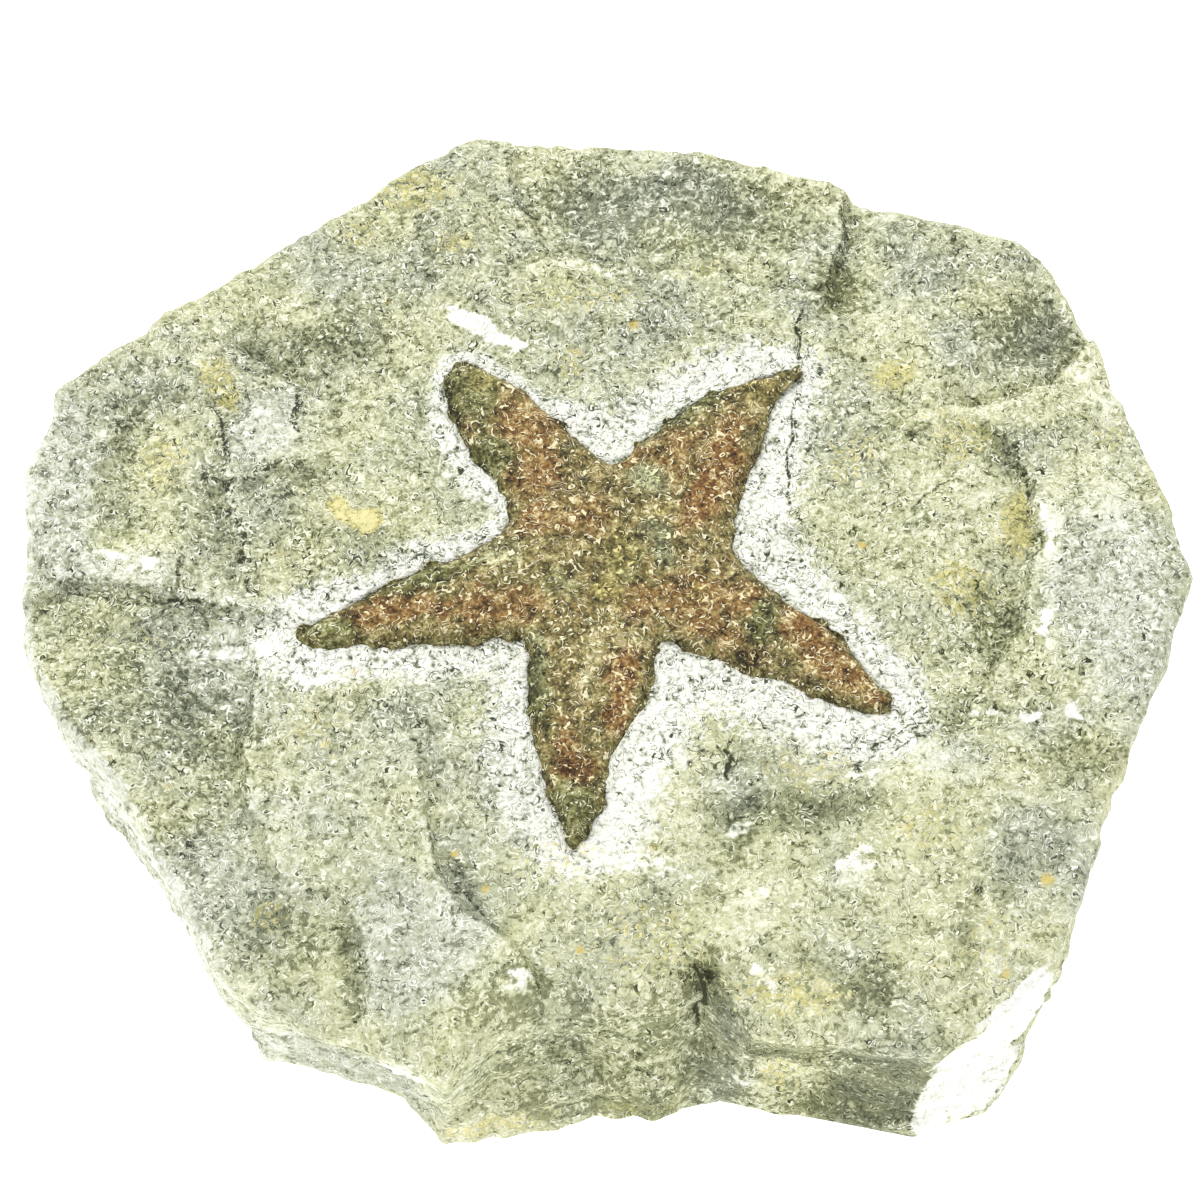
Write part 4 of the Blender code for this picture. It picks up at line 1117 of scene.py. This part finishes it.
def sandstone(settings):
    """Fine glauconitic sandstone, split along its bedding and weathered: pale quartz grains with
    dark greenish clay between them, white where it was tooled, brown-yellow where it rusted."""
    made, tree = new_material("fine_greenish_sandstone")
    _, bend, mask, noise = textures(
        tree, ("tone", "cloud", "patina", "cool", "warm", "ochre", "pit", "chip", "worn", "bruise",
               "line_off", "line_dark"), STONE_NOISES, 1.3)

    # Rounded clusters of grains, each of its own brightness. A glint is the middle of a rare one.
    dome = add_node(tree, "TexVoronoi", None, {"Vector": bend, "Scale": settings.grains_per_mm})
    cell = add_node(tree, "SeparateColor", None, {"Color": dome.node.outputs[1]})
    rare = add_node(tree, "MapRange", None, {0: cell, 1: 0.93, 2: 0.95, 3: 0.0, 4: 1.0})
    glint = threshold(tree, dome, (), 0.1, 0.2, 1.0, 0.0)
    glint = add_node(tree, "Math", {"operation": "MULTIPLY"}, {0: glint, 1: rare})

    # Strokes along broken grain edges: a painted highlight on the lit side, and dark clay and
    # painted shade on the other. They are broken up by larger noises, and the tone lets more of one
    # kind through.
    pale, dark = broken_edges(tree, bend, 0.75, 0.14)
    pale = gated(tree, pale, noise["crumb"], ((mask["tone"], 0.08, 0.0),), 0.42, 0.54)
    dark = gated(tree, dark, noise["coat"], ((mask["tone"], -0.1, 0.0),), 0.42, 0.54)

    # The fine layers, each about its own middle, are weaker where the surface is worn.
    fine = weighed_sum(tree, 0.0, (
        (cell, 0.3, 0.5), (dome, -0.2, 0.45), (noise["dust"], 0.8, 0.5),
        (noise["fleck"], 0.65, 0.5), (dark, -0.8, 0.1), (pale, 0.85, 0.16), (glint, 0.6, 0.0)))
    fresh = threshold(tree, mask["chip"], ((noise["crumb"], 1.3, 0.5),), 0.32, 0.7)
    keen = add_node(tree, "Math", {"operation": "MAXIMUM"}, {0: mask["worn"], 1: fresh})
    keen = weighed_sum(tree, 1.0, ((keen, -0.55, 0.0),))
    broken = weighed_sum(tree, -1.0, ((noise["mottle"], 4.0, 0.0),))
    level = weighed_sum(tree, settings.paleness, ((fine, keen, 0.0),))
    tone = add_node(tree, "Math", {"operation": "MULTIPLY"}, {0: mask["tone"], 1: broken})
    level = weighed_sum(tree, level, (
        (noise["mottle"], 0.6, 0.5), (mask["cloud"], 0.08, 0.0), (tone, 0.5, 0.0),
        (mask["pit"], -0.7, 0.0), (mask["warm"], 0.1, 0.0)))

    # The coat ends in crisp jagged edges, and pale grains come through it.
    coat = threshold(tree, mask["patina"], (
        (noise["coat"], 1.6, 0.5), (noise["fleck"], -2.2, 0.5), (cell, -0.2, 0.5)),
        0.3, 0.42, 1.0, 1.0 - settings.coat)
    level = add_node(tree, "Math", {"operation": "MULTIPLY"}, {0: level, 1: coat})

    # The bruised band and the chips have crumbly edges.
    white = threshold(tree, mask["bruise"], ((noise["crumb"], 1.6, 0.5),), 0.62, 1.05, 1.0, 0.0)
    white = add_node(tree, "Math", {"operation": "MAXIMUM"}, {0: white, 1: fresh})
    cobble = weighed_sum(tree, 0.26, ((dome, -0.5, 0.0),))
    cobble = add_node(tree, "Math", {"operation": "MULTIPLY"}, {0: cobble, 1: keen})
    level = weighed_sum(tree, level, ((white, cobble, 0.0), (fresh, 0.3, 0.0)))

    # Partings, cracks and painted shade along the steps, thin and uneven.
    part = weighed_sum(tree, mask["line_off"], ((noise["crumb"], 3.0, 0.5),))
    part = add_node(tree, "Math", {"operation": "ABSOLUTE"}, {0: part})
    part = threshold(tree, part, (), 0.5, 1.5, 1.0, 0.0)
    part = add_node(tree, "Math", {"operation": "MULTIPLY"}, {0: part, 1: mask["line_dark"]})
    level = weighed_sum(tree, level, ((part, -0.75, 0.0),))

    warm, cool, tooled = (add_node(tree, "ValToRGB", None, {"Fac": level}, evenly_spaced(clay))
                          for clay in (WARM_CLAY, COOL_CLAY, TOOLED))
    colour = stained(tree, warm, (
        (0.5, ((mask["cool"], 0.32, 0.0), (mask["cloud"], -0.12, 0.0)),
         0.38, 0.74, 1.0, "MIX", cool),))
    colour = add_node(tree, "Mix", {"data_type": "RGBA"}, {0: white, 6: colour, 7: tooled},
                      output=2)
    colour = stained(tree, colour, (
        (mask["warm"], ((noise["fleck"], 1.6, 0.0),), 1.0, 1.55, 0.85, "MULTIPLY",
         settings.stain),
        (mask["ochre"], ((noise["dust"], 0.8, 0.0),), 0.6, 1.25, 0.85, "MIX",
         settings.iron_spot)))
    height = weighed_sum(tree, 0.0, (
        (dome, -1.3, 0.0), (noise["dust"], 0.7, 0.0), (noise["fleck"], 1.0, 0.0)))
    gritty_surface(tree, colour, height, settings.grit, {
        "Roughness": 0.88, "Specular IOR Level": 0.3, "IOR": 1.54})
    return made


def fossil_crust(settings):
    """Iron-stained mineral crust: rusty brown with cream flecks and olive ends, dull and gritty,
    darkest along its crumbled edge."""
    made, tree = new_material("iron_stained_crust")
    place, bend, mask, noise = textures(
        tree, ("rust", "olive", "cream", "verdigris", "sulphur", "shade", "inwards"),
        CRUST_NOISES, 1.2)

    # Cream flecks and dark strokes, painted shade in small hollows as in the stone: short curved
    # strokes.
    cream, dark = broken_edges(tree, bend, 0.75, 0.15)
    cream = gated(tree, cream, noise["gate"], ((mask["cream"], 0.12, 0.0),), 0.44, 0.56)

    dome = add_node(tree, "TexVoronoi", None, {"Vector": place, "Scale": 1.4})
    cell = add_node(tree, "SeparateColor", None, {"Color": dome.node.outputs[1]})
    rind = threshold(tree, mask["inwards"], ((noise["mottle"], -1.2, 0.0),), -0.6, 0.0, 1.0, 0.0)
    level = weighed_sum(tree, settings.paleness, (
        (cell, 0.14, 0.5), (dome, -0.2, 0.45), (noise["dust"], 0.75, 0.5),
        (noise["fleck"], 0.4, 0.5), (noise["mottle"], 1.3, 0.5), (dark, -0.35, 0.15),
        (cream, 0.8, 0.16), (mask["shade"], 0.5, 0.0), (rind, -0.14, 0.0)))
    brown, rusty, olive = (add_node(tree, "ValToRGB", None, {"Fac": level}, evenly_spaced(crust))
                           for crust in (BROWN_CRUST, RUSTY_CRUST, OLIVE_CRUST))
    colour = stained(tree, brown, (
        (mask["rust"], ((noise["mottle"], 1.4, 0.0), (noise["gate"], 1.4, 0.5),
                        (mask["olive"], -0.4, 0.0)), 0.35, 1.6, 1.0, "MIX", rusty),
        (mask["olive"], ((noise["mottle"], 1.0, 0.0), (rind, 0.4, 0.0)),
         0.5, 1.35, 1.0, "MIX", olive),
        *((mask[name], ((noise["dust"], 0.9, 0.0),), 0.5, 1.4, 0.7, "COLOR", tint)
          for name, tint in (("verdigris", settings.verdigris), ("sulphur", settings.sulphur)))))
    height = weighed_sum(tree, 0.0, (
        (dome, -1.0, 0.0), (noise["dust"], 0.5, 0.0), (noise["fleck"], 0.9, 0.0),
        (cream, 0.5, 0.0)))
    gritty_surface(tree, colour, height, settings.grit, {
        "Roughness": 0.8, "Specular IOR Level": 0.35, "IOR": 1.55})
    return made


def studio_floor(settings):
    """Matt white acrylic, faintly lit from below, so that it stays paper white round the stone."""
    made, tree = new_material("lit_white_table")
    surface = add_node(tree, "BsdfPrincipled", None, {
        "Base Color": (0.9, 0.9, 0.9, 1.0), "Roughness": 0.9,
        "Emission Color": (1.0, 1.0, 1.0, 1.0), "Emission Strength": settings.floor_glow})
    add_node(tree, "OutputMaterial", None, {"Surface": surface}, output=None)
    return made


def colour_property(name, description, colour):
    """A colour that can be changed in the panel, from its sRGB hex value."""
    return bpy.props.FloatVectorProperty(
        name=name, description=description, default=linear(colour), size=4, min=0.0, max=1.0,
        subtype="COLOR")


# ---------------------------------------------------------------- settings

class SlabSettings(bpy.types.PropertyGroup):
    """Sizes and finish of the stone."""

    cells: bpy.props.IntProperty(
        name="Upper face cells", description="Grid cells across the upper face",
        default=250, min=40, max=300)
    wall_rows: bpy.props.IntProperty(
        name="Wall rows", description="Rows of faces up the wall", default=20, min=6, max=60)
    grains_per_mm: bpy.props.FloatProperty(
        name="Grains per millimetre", description="How many sand grains lie along a millimetre",
        default=1.7, min=0.5, max=6.0)
    grit: bpy.props.FloatProperty(
        name="Grit", description="How far the grains stand out", default=0.14 * MM, min=0.0,
        unit="LENGTH", subtype="DISTANCE", precision=5)
    paleness: bpy.props.FloatProperty(
        name="Paleness", description="Share of pale quartz against dark clay", default=0.665,
        min=0.0, max=1.0, subtype="FACTOR")
    coat: bpy.props.FloatProperty(
        name="Weathered coat", description="How much the brownish coat darkens the stone",
        default=0.42, min=0.0, max=1.0, subtype="FACTOR")
    stain: colour_property("Rust stain", "Tint of the yellowish brown stain", "#f3e9b0")
    iron_spot: colour_property("Iron spots", "Colour of the small iron spots", "#d6c16a")


class StarfishSettings(bpy.types.PropertyGroup):
    """Sizes and finish of the crust."""

    rows: bpy.props.IntProperty(
        name="Rows", description="Loops of points from the margin to the middle",
        default=80, min=20, max=120)
    grit: bpy.props.FloatProperty(
        name="Grit", description="How far the flecks and grains stand out", default=0.14 * MM,
        min=0.0, unit="LENGTH", subtype="DISTANCE", precision=5)
    paleness: bpy.props.FloatProperty(
        name="Paleness", description="Share of pale flecks against dark crust", default=0.58,
        min=0.0, max=1.0, subtype="FACTOR")
    verdigris: colour_property("Verdigris", "Tint of the greenish middle", "#8b9270")
    sulphur: colour_property("Sulphur", "Tint of the yellowest places", "#b9ab62")


class StageSettings(bpy.types.PropertyGroup):
    """Floor, lights and camera."""

    floor_glow: bpy.props.FloatProperty(
        name="Floor glow", description="Light that the table gives off", default=0.85, min=0.0)
    key_power: bpy.props.FloatProperty(
        name="Key light", description="Power of the large light behind the stone",
        default=1.7, min=0.0, unit="POWER")
    key_bearing: bpy.props.FloatProperty(
        name="Key bearing", description="Where the key light stands, clockwise from the far side",
        default=math.radians(-30.0), unit="ROTATION", subtype="ANGLE")
    key_height: bpy.props.FloatProperty(
        name="Key height", description="Angle of the key light above the table",
        default=math.radians(64.0), unit="ROTATION", subtype="ANGLE")
    fill: bpy.props.FloatProperty(
        name="Fill", description="Brightness of the white room", default=0.88, min=0.0)
    camera_distance: bpy.props.FloatProperty(
        name="Camera distance", description="From the camera to the point it looks at",
        default=0.33, unit="LENGTH", subtype="DISTANCE")
    camera_elevation: bpy.props.FloatProperty(
        name="Camera elevation", description="Angle of the view above the table",
        default=math.radians(60.0), unit="ROTATION", subtype="ANGLE")
    lens: bpy.props.FloatProperty(
        name="Lens", description="Focal length on a 36 mm wide sensor", default=126.2)


# ---------------------------------------------------------------- operators

class FOSSIL_OT_slab(bpy.types.Operator):
    """Builds the sandstone slab"""

    bl_idname = "fossil.sandstone_slab"
    bl_label = "Sandstone slab"

    def execute(self, context):
        settings = context.scene.fossil_slab
        points, quads, fan, masks = slab_surface(settings.cells, settings.wall_rows)
        piece = to_mesh("sandstone_slab", points, quads, fan, masks, sandstone(settings))
        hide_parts("matrix_slab")
        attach(piece, "root")
        return {"FINISHED"}


class FOSSIL_OT_starfish(bpy.types.Operator):
    """Builds the starfish crust"""

    bl_idname = "fossil.starfish_crust"
    bl_label = "Starfish crust"

    def execute(self, context):
        settings = context.scene.fossil_starfish
        points, quads, fan, masks = starfish_surface(settings.rows)
        piece = to_mesh("starfish_crust", points, quads, fan, masks, fossil_crust(settings))
        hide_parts("starfish")
        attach(piece, "root")
        return {"FINISHED"}


class FOSSIL_OT_stage(bpy.types.Operator):
    """Builds the table, the lights, the room and the camera"""

    bl_idname = "fossil.stage"
    bl_label = "Stage"

    def execute(self, context):
        scene = context.scene
        settings = scene.fossil_stage
        mesh = bpy.data.meshes.new("table")
        mesh.from_pydata([(x * TABLE_HALF, y * TABLE_HALF, 0.0)
                          for x, y in ((-1, -1), (1, -1), (1, 1), (-1, 1))], [], [(0, 1, 2, 3)])
        mesh.materials.append(studio_floor(settings))
        table = bpy.data.objects.new("table", mesh)
        scene.collection.objects.link(table)

        room = bpy.data.worlds.new("white_room")
        room.use_nodes = True
        room.node_tree.nodes["Background"].inputs["Color"].default_value = (1.0, 1.0, 1.0, 1.0)
        room.node_tree.nodes["Background"].inputs["Strength"].default_value = settings.fill
        scene.world = room

        lamp = bpy.data.lights.new("key_softbox", "AREA")
        lamp.shape = "SQUARE"
        lamp.size = KEY_SIZE
        lamp.energy = settings.key_power
        key = bpy.data.objects.new("key_softbox", lamp)
        bearing, height = settings.key_bearing, settings.key_height
        key.location = (KEY_DISTANCE * math.sin(bearing) * math.cos(height),
                        KEY_DISTANCE * math.cos(bearing) * math.cos(height),
                        KEY_DISTANCE * math.sin(height))
        key.rotation_euler = (math.radians(90.0) - height, 0.0, math.pi - bearing)
        scene.collection.objects.link(key)

        lens = bpy.data.cameras.new("camera")
        lens.sensor_width = SENSOR_WIDTH
        lens.lens = settings.lens
        lens.clip_start = 0.01
        camera = bpy.data.objects.new("camera", lens)
        aim_x, aim_y, aim_z = CAMERA_AIM
        rise = settings.camera_elevation
        camera.location = (aim_x, aim_y - settings.camera_distance * math.cos(rise),
                           aim_z + settings.camera_distance * math.sin(rise))
        camera.rotation_euler = (math.radians(90.0) - rise, 0.0, 0.0)
        scene.collection.objects.link(camera)
        scene.camera = camera
        scene.view_settings.view_transform = "Standard"
        return {"FINISHED"}


class FOSSIL_PT_panel(bpy.types.Panel):
    """Lists the fossil's pieces and their settings"""

    bl_idname = "FOSSIL_PT_panel"
    bl_label = "Fossil starfish"
    bl_space_type = "VIEW_3D"
    bl_region_type = "UI"
    bl_category = "Fossil"

    def draw(self, context):
        column = self.layout.column()
        for operator, group in PARTS:
            column.operator(operator.bl_idname)
            holder = getattr(context.scene, group)
            for name in holder.bl_rna.properties.keys():
                if name not in ("rna_type", "name"):
                    column.prop(holder, name)


PARTS = (
    (FOSSIL_OT_slab, "fossil_slab"),
    (FOSSIL_OT_starfish, "fossil_starfish"),
    (FOSSIL_OT_stage, "fossil_stage"),
)
GROUPS = {
    "fossil_slab": SlabSettings,
    "fossil_starfish": StarfishSettings,
    "fossil_stage": StageSettings,
}
CLASSES = (*GROUPS.values(), *(operator for operator, _ in PARTS), FOSSIL_PT_panel)


def register():
    for made in CLASSES:
        bpy.utils.register_class(made)
    for name, group in GROUPS.items():
        setattr(bpy.types.Scene, name, bpy.props.PointerProperty(type=group))


def unregister():
    for name in GROUPS:
        delattr(bpy.types.Scene, name)
    for made in reversed(CLASSES):
        bpy.utils.unregister_class(made)


def main():
    register()
    bpy.ops.fossil.sandstone_slab()
    bpy.ops.fossil.starfish_crust()
    bpy.ops.fossil.stage()


if __name__ == "__main__":
    main()
